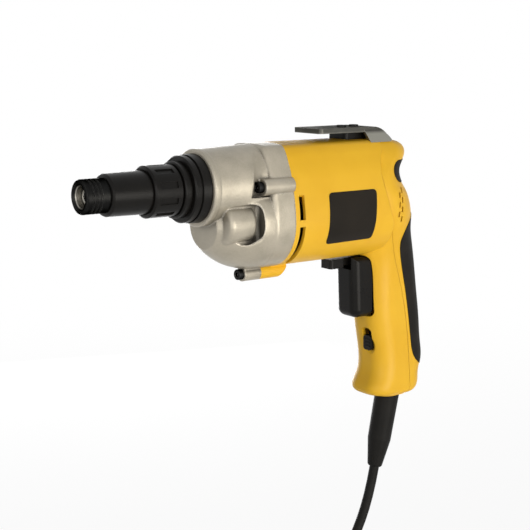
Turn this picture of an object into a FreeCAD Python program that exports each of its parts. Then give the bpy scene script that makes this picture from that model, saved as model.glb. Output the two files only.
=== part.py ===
import FreeCAD, Part
import math
import os

V = FreeCAD.Vector

# Corded drywall screwdriver, millimetres, +Z up.
# Modelled about the spindle axis: X = 0 is the front lip of the gear case and the nose points to -X.
# On export everything moves so that the origin lies in the middle of the hand grip.
GRIP_X = 176.0
GRIP_Z = -100.0

# General fits
RUN_FIT = 0.05
SLIDE_FIT = 0.3
SEAT_FIT = 0.02
SEAM_GAP = 0.3
SCREW_CLEAR = 0.15
THREAD_FIT = 0.05
BRUSH_FIT = 0.15
SHELL_GAP = 0.15

# Bodies that only cut run past the tool by these
OVER = 1.0
CUT_REACH = 60.0
CUT_BACK_X = 260.0

# Gear pair: armature pinion and drive gear
MODULE = 1.0
PINION_TEETH = 8
GEAR_TEETH = 45
PRESSURE_ANGLE = math.radians(25.0)
ADDENDUM = 0.75
DEDENDUM = 1.0
TOOTH_THINNING = 0.16
GEAR_CLEAR = 0.45
GEAR_FACE = 8.0
GEAR_X = 44.0
MOTOR_DROP = MODULE * (PINION_TEETH + GEAR_TEETH) / 2.0
MOTOR_Z = -MOTOR_DROP

# Motor housing barrel: crowned top, sloping shoulders, round belly about the motor axis
PARTING_X = 59.0
BELLY_R = 33.3
TOP_Z = 28.4
CROWN_HALF = 15.0
CROWN_DROP = 0.8
CROWN_LEAN = math.radians(6.1)
CORNER_HALF = 22.5
CORNER_Z = 20.0
CORNER_LEAN = math.radians(66.0)
SHOULDER_HALF = 28.5
SHOULDER_Z = 4.6
SHOULDER_LEAN = math.radians(76.0)
BARREL_WALL = 2.8
HANDLE_WALL = 3.4
BARREL_END_X = 146.0

# Rear body and handle: height, front, rear, half width and corner radius of each level section
HANDLE_STATIONS = (
    (27.8, 138.0, 164.0, 13.0, 12.0),
    (25.4, 134.0, 174.7, 18.3, 16.5),
    (21.0, 130.0, 181.4, 21.5, 20.0),
    (16.0, 128.0, 181.5, 24.2, 22.6),
    (9.5, 126.0, 177.0, 26.6, 25.0),
    (2.0, 118.5, 174.2, 29.2, 27.5),
    (-5.0, 118.5, 176.2, 30.8, 28.5),
    (-11.0, 122.0, 180.0, 31.6, 29.0),
    (-18.0, 125.0, 183.2, 31.8, 29.0),
    (-28.0, 128.6, 186.0, 31.0, 28.5),
    (-40.0, 134.0, 188.0, 27.6, 25.8),
    (-52.0, 140.0, 191.4, 22.6, 20.8),
    (-66.0, 145.5, 194.4, 19.6, 17.0),
    (-90.0, 148.2, 197.8, 18.4, 15.0),
    (-115.0, 151.0, 201.2, 18.2, 14.5),
    (-132.0, 154.2, 203.0, 18.2, 14.5),
    (-146.0, 156.0, 204.0, 18.5, 14.5),
    (-156.0, 154.6, 201.4, 19.0, 14.5),
    (-163.0, 151.2, 200.8, 19.4, 14.5),
    (-168.0, 150.6, 199.8, 19.0, 14.5),
    (-171.6, 155.4, 196.0, 16.5, 13.0),
    (-174.0, 164.0, 191.6, 12.0, 10.0),
)

# Seam between motor housing and rear cover, side view
SEAM = (
    (149.3, 40.0), (149.0, 24.0), (146.0, 17.0), (142.2, 6.5), (142.8, -1.5), (145.8, -13.5),
    (149.4, -27.0), (158.8, -48.0), (171.0, -78.0), (177.4, -100.0), (182.6, -132.0), (184.6, -176.0),
    (184.8, -190.0),
)

# Soft grip on the back of the handle, side view of its edge, and the patch in the thumb hollow
GRIP_EDGE = (
    (188.0, -26.5), (177.6, -31.0), (170.6, -38.5), (167.6, -48.0), (169.6, -58.0), (178.4, -90.0),
    (185.4, -130.0), (190.0, -144.5), (197.0, -150.0), (206.0, -151.5),
)
PATCH_FRONT_X = 155.8
PATCH_Z = 4.0
PATCH_R = 8.2
GRIP_DEPTH = 1.5
GRIP_PROUD = 0.4

# Gear case
CASE_WALL = 3.2
LIP_R = 26.6
LIP_FRONT_X = -3.7
FRONT_BOSS_R = 26.2
FRONT_BOSS_REAR_R = 28.2
VALLEY_X = 36.5
VALLEY_R = 16.0
VALLEY_FLOOR_R = 24.1
VALLEY_RISE = 4.0
VALLEY_LOW_Z = -6.5
FLANGE_X = 41.0
FLANGE_ROUND = 3.5
DOME_FRONT_X = 4.0
DOME_FRONT_R = 16.5
DOME_MID_X = 14.0
DOME_MID_R = 25.0
DOME_END_X = 47.5
DOME_STEP = 0.6
BULGE_Y = -15.5
BULGE_Z = -24.5
BULGE_R = 14.0
BULGE_END_X = 29.5
BULGE_ROUND = 3.5
GROOVE_WIDTH = 4.0
GROOVE_END_X = 33.5
GROOVE_FLOOR_Y = -23.4
GROOVE_ROUND = 2.6
CLUTCH_ROOM_R = 21.5
PINION_ROOM_R = 8.5
PLATE_X = 52.6
PLATE_END_X = 60.5
LEDGE_THICK = 1.4

# Case screws: one each side at spindle height and one below
CASE_SCREW_R = 1.75
CASE_SCREW_HEAD_R = 3.8
CASE_SCREW_HEAD_H = 4.0
CASE_HEAD_ROUND = 0.6
CASE_SOCKET_R = 1.8
CASE_SOCKET_DEPTH = 2.2
SIDE_SCREW_Y = 26.9
SIDE_SCREW_Z = 0.5
SIDE_BOSS_R = 6.0
SIDE_BOSS_X = 34.0
SIDE_POST_R = 4.2
SIDE_POST_LENGTH = 12.0
LOW_SCREW_Z = -63.6
LOW_BOSS_R = 5.2
LOW_BOSS_X = 36.0
LOW_JOINT_X = 50.0
LOW_WEB_HALF = 4.16
LOW_WEB_RISE = 6.0
LOW_LUG_END_X = 73.0
LUG_SLOPE = 7.0
CASE_SCREW_LENGTH = 32.0
SIDE_HEAD_CLEAR = 0.5
LOW_HEAD_CLEAR = 0.9
LUG_CLEAR = 0.2

# Spindle, clutch and bit holder
SPINDLE_R = 5.0
BUSH_R = 8.0
BUSH_X = 4.0
BUSH_LENGTH = 22.0
HUB_R = 13.0
HUB_END_X = 30.4
WASHER_THICK = 2.0
WASHER_R = 15.0
CLUTCH_R = 16.0
CLUTCH_FLANGE_THICK = 5.0
JAW_HEIGHT = 2.5
JAW_INNER_R = 9.5
JAW_ARC = 46.0
JAWS = 3
PILOT_R = 4.0
GEAR_HUB_R = 7.0
WEB_R = 19.5
WEB_INNER_R = 10.0
WEB_DEPTH = 2.0
GEAR_HUB_LENGTH = 6.2
REAR_BUSH_R = 9.5
REAR_BUSH_LENGTH = 5.0
SPRING_R = 6.2
SPRING_WIRE = 1.1
SPRING_TURNS = 3
SPRING_POCKET = 3.2
SNOUT_R = 6.4
SNOUT_CLEAR = 1.0
SNOUT_FRONT_X = -36.0
HEX_FLATS = 6.35
BIT_HOLDER_R = 6.0
BIT_HOLDER_FRONT_X = -86.0
BIT_SOCKET_DEPTH = 24.0
SHANK_LENGTH = 20.0
CLIP_WIRE = 1.2

# Nosepiece
TIP_FRONT_X = -91.2
TIP_R = 11.5
TIP_LENGTH = 17.3
TIP_BORE_R = 7.2
TIP_FUNNEL_R = 8.8
TIP_FUNNEL_DEPTH = 2.2
TIP_GROOVES = 3
TIP_GROOVE_DEPTH = 0.6
TIP_SPIGOT_R = 10.2
TIP_SPIGOT_LENGTH = 9.0
SLEEVE_FRONT_R = 14.1
SLEEVE_REAR_R = 14.6
SLEEVE_BORE_R = 8.4
COLLAR_FRONT_X = -44.0
COLLAR_REAR_X = -22.3
COLLAR_R = 17.5
COLLAR_SLOTS = 10
COLLAR_SLOT_END = 4.0
COLLAR_SLOT_DEPTH = 1.1
COLLAR_SLOT_WIDTH = 4.4
SLEEVE_HIDDEN = 12.5
BASE_R = 19.3
BASE_FRONT_X = -22.0
BASE_HUB_LENGTH = 3.6
NOSE_RING_FRONT_X = -16.5
NOSE_RING_R = 23.3
SPIGOT_R = 17.0
SPIGOT_FRONT_X = -9.0
BASE_SPIGOT_R = 15.2
BASE_BORE_R = 9.4
O_RING_WIRE = 1.8

# Motor
SHAFT_R = 4.0
CORE_X = 80.0
CORE_LENGTH = 36.0
CORE_R = 15.5
AIR_GAP = 0.5
CORE_SLOTS = 12
CORE_SLOT_WIDTH = 3.0
CORE_SLOT_DEPTH = 5.0
POLE_HALF_ANGLE = 52.0
YOKE_THICK = 6.5
COIL_OVERHANG = 5.5
FIELD_CLEAR = 0.3
WINDING_OVERHANG = 5.5
WINDING_R = 14.0
COMMUTATOR_X = 123.5
COMMUTATOR_LENGTH = 11.0
COMMUTATOR_R = 10.5
COMMUTATOR_BARS = 24
BAR_GAP = 0.5
BAR_GAP_DEPTH = 0.8
RISER = 1.2
RISER_THICK = 1.5
FAN_X = 62.2
FAN_R = 26.0
FAN_DEPTH = 9.5
FAN_BLADES = 11
FAN_BLADE_THICK = 1.4
FAN_HUB_R = 8.0
FAN_PLATE = 1.5
FRONT_BEARING_R = 11.0
FRONT_BEARING_WIDTH = 7.0
REAR_BEARING_R = 9.5
REAR_BEARING_WIDTH = 6.0
REAR_BEARING_X = 138.5
BULKHEAD_X = 137.5
BULKHEAD_THICK = 3.5
AIR_HOLES = 6
AIR_HOLE_RING = 20.0
AIR_HOLE_R = 4.5
BRUSH_LONG = 8.0
BRUSH_THICK = 6.0
BRUSH_LENGTH = 12.0
BRUSH_WALL = 1.0
BRUSH_SPRING_WIRE = 0.7
BRUSH_SPRING_R = 2.0
BRUSH_SPRING_TURNS = 3

# Trigger, reversing lever, lock slide and switch
TRIGGER_HALF = 11.6
TRIGGER_FRONT_X = 131.2
TRIGGER_TOP_Z = -69.8
TRIGGER_LOW_Z = -107.6
TRIGGER_REAR_X = 150.4
TRIGGER_TRAVEL = 7.0
TRIGGER_WALL = 2.6
TRIGGER_ROUND = 4.5
TRIGGER_FRONT_ROUND = 6.5
TRIGGER_SLOT_HALF = 7.6
TRIGGER_FOOT_BACK = 2.0
TRIGGER_FOOT_RISE = 6.0
TRIGGER_FOOT_LENGTH = 8.5
PLUNGER_R = 3.0
OPENING_TOP_Z = -60.3
OPENING_CLEAR = 0.5
OPENING_FRONT_X = 118.0
SWITCH_HALF = 10.0
SWITCH_X = 158.2
SWITCH_LENGTH = 27.0
SWITCH_TOP_Z = -69.0
SWITCH_LOW_Z = -104.0
LEVER_PIVOT_X = 150.0
LEVER_TIP_X = 113.5
LEVER_PADDLE = 13.5
LEVER_HALF = 6.5
LEVER_STEM_HALF = 3.0
LEVER_TOP_Z = -60.9
LEVER_LOW_Z = -67.9
LEVER_HUB_R = 5.0
LEVER_PIN_R = 1.5
LOCK_Y = -3.5
LOCK_HALF = 4.5
LOCK_LOW_Z = -135.6
LOCK_HEIGHT = 11.5
LOCK_TRAVEL = 6.0
LOCK_FRONT_X = 153.2
LOCK_FLANGE = 1.6
LOCK_FLANGE_X = 160.2
LOCK_FLANGE_HALF = 5.6
LOCK_SLOT_ROUND = 3.2
LOCK_ROUND = 2.6
LOCK_RIB_HALF = 3.2
LOCK_RIB = 1.1
LOCK_RIB_STEP = 2.6
LOCK_RIBS = 3
SCOOP_R = 13.0
SCOOP_OUT = 9.6

# Belt hook
HOOK_FRONT_X = 94.5
HOOK_BEND_X = 143.5
HOOK_HALF = 15.5
HOOK_THICK = 2.2
HOOK_TOP_Z = 37.0
HOOK_BEND_MID_X = 155.2
HOOK_BEND_MID_Z = 34.2
HOOK_DROP_X = 162.4
HOOK_DROP_Z = 26.4
HOOK_CORNER = 3.0
HOOK_RIM = 3.6
HOOK_RIM_WALL = 1.6
HOOK_LEG_X = 136.5
HOOK_LEG_LOW_X = 140.6
HOOK_LEG_REAR_X = 158.0
HOOK_LEG_DROP = 10.4
HOOK_LEG_SPLAY = 21.8
SPACER_X = 123.0
SPACER_END_X = 144.5
SPACER_HALF = 10.0
SPACER_SUNK = 3.0
SPACER_ROUND = 2.5
SPACER_GAP = 0.05
HOOK_SCREWS_X = (127.5, 139.4)
HOOK_SCREW_R = 2.0
HOOK_SCREW_HEAD_R = 3.6
HOOK_SCREW_HEAD_H = 1.2
HOOK_SOCKET_R = 1.6
HOOK_SCREW_DEPTH = 8.0
HOOK_HOLE_CLEAR = 0.2
HOOK_BOSS_R = 4.4

# Bare plate on the left side
PLATE_CORNERS = ((90.0, -6.8), (135.0, -6.8), (132.2, -43.2), (89.0, -43.8))
PLATE_MID_X = 112.0
PLATE_MID_Z = -25.0
PLATE_HALF_HEIGHT = 20.0
PLATE_ZONE = 28.0
PLATE_PROUD = 0.35
PLATE_SUNK = 0.8
PLATE_ROUND = 3.0

# Vents
VENT_X = 62.8
VENT_WIDTH = 4.8
VENT_ANGLES = ((4.4, 32.7), (-70.0, -4.0))
TOP_VENTS = ((66.0, 5.0), (64.0, 12.0))
TOP_VENT_LENGTH = 13.0
TOP_VENT_WIDTH = 2.4

# Rear cover screws: two above and two at the foot of the handle
COVER_SCREW_R = 1.75
COVER_SCREW_HEAD_R = 3.4
COVER_SCREW_HEAD_H = 2.6
COVER_BOSS_R = 4.6
COVER_UPPER_X = 178.2
COVER_UPPER_Y = 12.5
COVER_UPPER_Z = 17.8
COVER_LOWER_X = 200.2
COVER_LOWER_Y = 10.5
COVER_LOWER_Z = -159.6
COVER_HEAD_DEPTH = 5.0
COVER_HEAD_CLEAR = 0.2
COVER_SOCKET_R = 1.6
COVER_SCREW_GRIP = 14.0

# Air inlet: two staggered columns of short slots on each side of the rear cover
INLET_X = 158.7
INLET_TOP_Z = -13.2
INLET_COUNT = 3
INLET_STEP_X = 3.0
INLET_STEP_Z = 7.2
INLET_WIDTH = 1.5
INLET_HEIGHT = 4.2
INLET_INNER_Y = 15.0

# Strain relief, cord, coil and plug
RELIEF_X = 178.4
RELIEF_Z = -174.0
RELIEF_LEAN = math.radians(11.8)
RELIEF_LENGTH = 60.0
RELIEF_TOP_R = 9.6
RELIEF_MID_R = 9.1
RELIEF_MID = 38.0
RELIEF_END_R = 5.8
RELIEF_FLANGE_R = 11.2
RELIEF_FLANGE = 3.0
CORD_D = 7.6
CORD_STUB = 24.0
CORD_RUN = 26.0
COIL_X = 162.0
COIL_Z = -358.0
COIL_MID_R = 45.6
COIL_TURNS = 8
COIL_STEP = 8.3
COIL_START = math.radians(135.0)
COIL_TAIL = 46.0
TIE_WIDTH = 10.0
TIE_THICK = 1.5
PLUG_LENGTH = 36.0
PLUG_HALF_LONG = 17.5
PLUG_HALF_SHORT = 10.5
PLUG_NECK_R = 6.5
PIN_R = 2.4
PIN_SPACING = 19.0
PIN_LENGTH = 19.0
CLAMP_Z = -150.0
CLAMP_HALF = 11.5
CLAMP_HEIGHT = 8.0
CLAMP_THICK = 4.0
CLAMP_SCREW_Y = 8.4
CLAMP_SCREW_R = 1.4
CLAMP_SCREW_DEPTH = 8.0
CLAMP_HEAD_R = 2.6
CLAMP_HEAD_H = 1.8
CLAMP_POST_R = 3.2


# Plain forms
def disc(x0, x1, r, y=0.0, z=0.0):
    return Part.makeCylinder(r, x1 - x0, V(x0, y, z), V(1, 0, 0))


def ring(x0, x1, r_out, r_in, y=0.0, z=0.0):
    return disc(x0, x1, r_out, y, z).cut(disc(x0 - 1.0, x1 + 1.0, r_in, y, z))


def block(x0, x1, y0, y1, z0, z1):
    return Part.makeBox(x1 - x0, y1 - y0, z1 - z0, V(x0, y0, z0))


def post(z0, z1, r, x, y=0.0):
    return Part.makeCylinder(r, z1 - z0, V(x, y, z0), V(0, 0, 1))


def side_bar(y0, y1, r, x, z):
    return Part.makeCylinder(r, y1 - y0, V(x, y0, z), V(0, 1, 0))


def turned(outline, y=0.0, z=0.0):
    points = [V(x, y, z + r) for x, r in outline]
    face = Part.Face(Part.makePolygon(points + points[:1]))
    return face.revolve(V(0, y, z), V(1, 0, 0), 360)


def fused(shapes):
    first = shapes[0]
    return first.multiFuse(list(shapes[1:])).removeSplitter()


def arc3(a, b, c):
    return Part.Arc(a, b, c).toShape()


def slab(points, half):
    corners = [V(x, -half, z) for x, z in points]
    face = Part.Face(Part.makePolygon(corners + corners[:1]))
    return face.extrude(V(0, 2.0 * half, 0))


def sector(x0, x1, r_out, r_in, from_deg, to_deg, y=0.0, z=0.0):
    # Part of a ring about a line along X; angles count from +Y towards +Z
    corners = [V(x0, y + r_in, z), V(x1, y + r_in, z), V(x1, y + r_out, z), V(x0, y + r_out, z)]
    face = Part.Face(Part.makePolygon(corners + corners[:1]))
    body = face.revolve(V(0, y, z), V(1, 0, 0), to_deg - from_deg)
    body.rotate(V(0, y, z), V(1, 0, 0), from_deg)
    return body


def hex_bar(x0, x1, flats):
    r = flats / math.sqrt(3.0)
    corners = [V(x0, r * math.cos(k * math.pi / 3), r * math.sin(k * math.pi / 3)) for k in range(7)]
    return Part.Face(Part.makePolygon(corners)).extrude(V(x1 - x0, 0, 0))


def end_edges(shape):
    # Edges that lie square to X
    return [e for e in shape.Edges if e.BoundBox.XLength < 0.01]


def mirrored(shape):
    return shape.mirror(V(0, 0, 0), V(0, 1, 0))


# Motor housing section, seen along X
def barrel_wire(x):
    # Half outline from the crown to the belly: a point and how far the outline has turned down there
    stations = (
        (0.0, TOP_Z, 0.0),
        (CROWN_HALF, TOP_Z - CROWN_DROP, CROWN_LEAN),
        (CORNER_HALF, CORNER_Z, CORNER_LEAN),
        (SHOULDER_HALF, SHOULDER_Z, SHOULDER_LEAN),
        (BELLY_R, MOTOR_Z, math.pi / 2),
    )
    half = []
    for (y0, z0, lean0), (y1, z1, lean1) in zip(stations, stations[1:]):
        ahead0 = V(0, math.cos(lean0), -math.sin(lean0))
        ahead1 = V(0, math.cos(lean1), -math.sin(lean1))
        half += biarc(V(x, y0, z0), ahead0, V(x, y1, z1), ahead1)
    other = [e.mirror(V(x, 0, 0), V(0, 1, 0)) for e in half]
    belly = arc3(V(x, BELLY_R, MOTOR_Z), V(x, 0, MOTOR_Z - BELLY_R), V(x, -BELLY_R, MOTOR_Z))
    return Part.Wire(Part.__sortEdges__(half + [belly] + other))


def barrel(x0, x1, offset=0.0):
    wire = barrel_wire(x0)
    if offset:
        wire = wire.makeOffset2D(offset)
    return Part.Face(wire).extrude(V(x1 - x0, 0, 0))


# Rear body and handle: one loft through level rounded sections
def level_wire(z, front, rear, half, corner):
    corner = min(corner, 0.96 * half, 0.48 * (rear - front))
    c = corner * (1.0 - math.sqrt(0.5))
    edges = [
        Part.makeLine(V(front, -half + corner, z), V(front, half - corner, z)),
        arc3(V(front, half - corner, z), V(front + c, half - c, z), V(front + corner, half, z)),
        Part.makeLine(V(front + corner, half, z), V(rear - corner, half, z)),
        arc3(V(rear - corner, half, z), V(rear - c, half - c, z), V(rear, half - corner, z)),
        Part.makeLine(V(rear, half - corner, z), V(rear, -half + corner, z)),
        arc3(V(rear, -half + corner, z), V(rear - c, -half + c, z), V(rear - corner, -half, z)),
        Part.makeLine(V(rear - corner, -half, z), V(front + corner, -half, z)),
        arc3(V(front + corner, -half, z), V(front + c, -half + c, z), V(front, -half + corner, z)),
    ]
    return Part.Wire(edges)


def rear_form(offset=0.0):
    wires = []
    for z, front, rear, half, corner in HANDLE_STATIONS:
        wires.append(level_wire(z, front - offset, rear + offset, half + offset, corner + offset))
    body = Part.makeLoft(wires, True, False)
    if offset < 0:
        top = HANDLE_STATIONS[0][0] + offset
        low = HANDLE_STATIONS[-1][0] - offset
        body = body.common(block(PARTING_X, CUT_BACK_X, -CUT_REACH, CUT_REACH, low, top))
    return body


def behind_seam(shift):
    curve = Part.BSplineCurve()
    points = [V(x + shift, -CUT_REACH, z) for x, z in SEAM]
    curve.interpolate(points)
    far = CUT_BACK_X
    back = [V(far, -CUT_REACH, points[-1].z), V(far, -CUT_REACH, points[0].z)]
    edges = [curve.toShape(), Part.makeLine(points[-1], back[0]), Part.makeLine(back[0], back[1])]
    edges.append(Part.makeLine(back[1], points[0]))
    return Part.Face(Part.Wire(edges)).extrude(V(0, 2.0 * CUT_REACH, 0))


def grip_region(clear=0.0):
    curve = Part.BSplineCurve()
    points = [V(x - clear, -CUT_REACH, z) for x, z in GRIP_EDGE]
    curve.interpolate(points)
    far = CUT_BACK_X
    back = [V(far, -CUT_REACH, points[-1].z - clear), V(far, -CUT_REACH, points[0].z + clear)]
    edges = [curve.toShape(), Part.makeLine(points[-1], back[0]), Part.makeLine(back[0], back[1])]
    edges.append(Part.makeLine(back[1], points[0]))
    lower = Part.Face(Part.Wire(edges)).extrude(V(0, 2.0 * CUT_REACH, 0))
    r = PATCH_R + clear
    middle_x = PATCH_FRONT_X + PATCH_R
    top = V(middle_x, -CUT_REACH, PATCH_Z + r)
    low = V(middle_x, -CUT_REACH, PATCH_Z - r)
    back = [V(far, -CUT_REACH, low.z), V(far, -CUT_REACH, top.z)]
    edges = [arc3(top, V(middle_x - r, -CUT_REACH, PATCH_Z), low), Part.makeLine(low, back[0])]
    edges += [Part.makeLine(back[0], back[1]), Part.makeLine(back[1], top)]
    upper = Part.Face(Part.Wire(edges)).extrude(V(0, 2.0 * CUT_REACH, 0))
    return [lower, upper]


# Wound tubes: biarcs between stations of half a turn
def arc_from(p, t, q):
    chord = q - p
    n = chord - t * chord.dot(t)
    if n.Length < 1e-6:
        return Part.makeLine(p, q)
    n.normalize()
    radius = chord.dot(chord) / (2.0 * chord.dot(n))
    centre = p + n * radius
    out = (p + q) * 0.5 - centre
    if chord.dot(t) < 0:
        out = out * -1.0
    if out.Length < 1e-6:
        out = V(t)
    out.normalize()
    return arc3(p, centre + out * radius, q)


def biarc(p, t, q, u):
    v = q - p
    s = t + u
    k = 2.0 * (1.0 - t.dot(u))
    if k < 1e-9:
        d = v.dot(v) / (4.0 * v.dot(u))
    else:
        d = (-v.dot(s) + math.sqrt(v.dot(s) ** 2 + k * v.dot(v))) / k
    joint = (p + q + (t - u) * d) * 0.5
    back = arc_from(q, u * -1.0, joint)
    return [arc_from(p, t, joint), back]


def tube(edges, radius):
    path = Part.Wire(Part.__sortEdges__(edges))
    start = path.OrderedVertexes[0].Point
    first = path.OrderedEdges[0]
    ahead = first.tangentAt(first.FirstParameter)
    if first.Orientation == "Reversed":
        ahead = first.tangentAt(first.LastParameter) * -1.0
    profile = Part.Wire([Part.makeCircle(radius, start, ahead)])
    return path.makePipeShell([profile], True, False)


def spring(place, axis, radius, wire_r, turns, length):
    # Helix about a line: place is its first end, axis its unit direction
    side = axis.cross(V(0, 0, 1))
    if side.Length < 1e-6:
        side = V(1, 0, 0)
    side.normalize()
    up = axis.cross(side)
    rise = length / turns
    lean = math.atan2(rise, 2.0 * math.pi * radius)
    stations = []
    for k in range(2 * turns + 1):
        a = k * math.pi
        out = side * math.cos(a) + up * math.sin(a)
        run = up * math.cos(a) - side * math.sin(a)
        tangent = run * math.cos(lean) + axis * math.sin(lean)
        stations.append((place + axis * (rise * k / 2.0) + out * radius, tangent))
    edges = []
    for (p, t), (q, u) in zip(stations, stations[1:]):
        edges += biarc(p, t, q, u)
    return tube(edges, wire_r)


# Gears
def gear(teeth, x0, x1, turn_deg, y=0.0, z=0.0):
    pitch_r = MODULE * teeth / 2.0
    base_r = pitch_r * math.cos(PRESSURE_ANGLE)
    tip_r = pitch_r + ADDENDUM * MODULE
    root_r = pitch_r - DEDENDUM * MODULE
    half = (math.pi * MODULE / 2.0 - TOOTH_THINNING) / (2.0 * pitch_r)
    roll = math.tan(PRESSURE_ANGLE) - PRESSURE_ANGLE

    def flank(r):
        a = math.acos(min(1.0, base_r / r))
        return half + roll - (math.tan(a) - a)

    low = max(base_r, root_r)
    radii = [low + (tip_r - low) * k / 3.0 for k in range(4)]
    corners = []
    for k in range(teeth):
        mid = 2.0 * math.pi * k / teeth + math.radians(turn_deg)
        side = [(root_r, flank(low))] + [(r, flank(r)) for r in radii]
        for r, a in side:
            corners.append((r, mid - a))
        for r, a in reversed(side):
            corners.append((r, mid + a))
    points = [V(x0, y + r * math.cos(a), z + r * math.sin(a)) for r, a in corners]
    clean = [points[0]]
    for p in points[1:]:
        if p.distanceToPoint(clean[-1]) > 1e-4:
            clean.append(p)
    return Part.Face(Part.makePolygon(clean + clean[:1])).extrude(V(x1 - x0, 0, 0))


PARTS = {}


# Outer forms that several pieces are cut from
REAR = rear_form()
BACK = behind_seam(SEAM_GAP / 2)
FRONT_CUT = behind_seam(-SEAM_GAP / 2)
REAR_ROOM = rear_form(-HANDLE_WALL)
GRIP_REGION = grip_region()
GRIP_POCKET = grip_region(SEAT_FIT)
GRIP_FLOOR = rear_form(-GRIP_DEPTH)
GRIP_SKIN = rear_form(GRIP_PROUD)

# Derived places
GEAR_END_X = GEAR_X + GEAR_FACE
CLUTCH_X = HUB_END_X + SLIDE_FIT + WASHER_THICK + SLIDE_FIT
CLUTCH_BACK_X = CLUTCH_X + CLUTCH_FLANGE_THICK
SPINDLE_JAW_X = CLUTCH_BACK_X + JAW_HEIGHT
GEAR_ROOM_R = MODULE * GEAR_TEETH / 2 + ADDENDUM * MODULE + GEAR_CLEAR
BARREL_LOW_Z = MOTOR_Z - BELLY_R
HANDLE_FRONT_X = min(front for z, front, rear, half, corner in HANDLE_STATIONS if z < BARREL_LOW_Z)
RELIEF_DIR = V(-math.sin(RELIEF_LEAN), 0, -math.cos(RELIEF_LEAN))
RELIEF_TOP = V(RELIEF_X, 0, RELIEF_Z)


def cover_screw_places():
    upper = [(COVER_UPPER_X, y, COVER_UPPER_Z) for y in (-COVER_UPPER_Y, COVER_UPPER_Y)]
    lower = [(COVER_LOWER_X, y, COVER_LOWER_Z) for y in (-COVER_LOWER_Y, COVER_LOWER_Y)]
    return upper + lower


def seam_x(z):
    below = [p for p in SEAM if p[1] <= z][0]
    above = [p for p in SEAM if p[1] > z][-1]
    share = (z - below[1]) / (above[1] - below[1])
    return below[0] + share * (above[0] - below[0])


def case_dome():
    # Round lower front about the motor axis, run into the flange a little under its skin
    a = V(DOME_FRONT_X, 0, MOTOR_Z - DOME_FRONT_R)
    b = V(DOME_END_X, 0, MOTOR_Z - BELLY_R + DOME_STEP)
    rim = arc3(a, V(DOME_MID_X, 0, MOTOR_Z - DOME_MID_R), b)
    axis_a = V(a.x, 0, MOTOR_Z)
    axis_b = V(b.x, 0, MOTOR_Z)
    sides = [Part.makeLine(b, axis_b), Part.makeLine(axis_b, axis_a), Part.makeLine(axis_a, a)]
    return Part.Face(Part.Wire([rim] + sides)).revolve(axis_a, V(1, 0, 0), 360)


def case_groove():
    # Shallow groove that the bulge on the left stands in
    groove = disc(DOME_FRONT_X - 4.0, GROOVE_END_X, BULGE_R + GROOVE_WIDTH, BULGE_Y, BULGE_Z)
    outside = block(DOME_FRONT_X - 5.0, FLANGE_X, BULGE_Y - CUT_REACH, GROOVE_FLOOR_Y,
                    BULGE_Z - CUT_REACH, BULGE_Z + CUT_REACH)
    groove = groove.common(outside)
    floor_edges = []
    for e in groove.Edges:
        box = e.BoundBox
        on_floor = box.YMax > GROOVE_FLOOR_Y - 0.01 or box.XMin > GROOVE_END_X - 0.01
        if box.XMax > DOME_FRONT_X and on_floor:
            floor_edges.append(e)
    return groove.makeFillet(GROOVE_ROUND, floor_edges)


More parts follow.
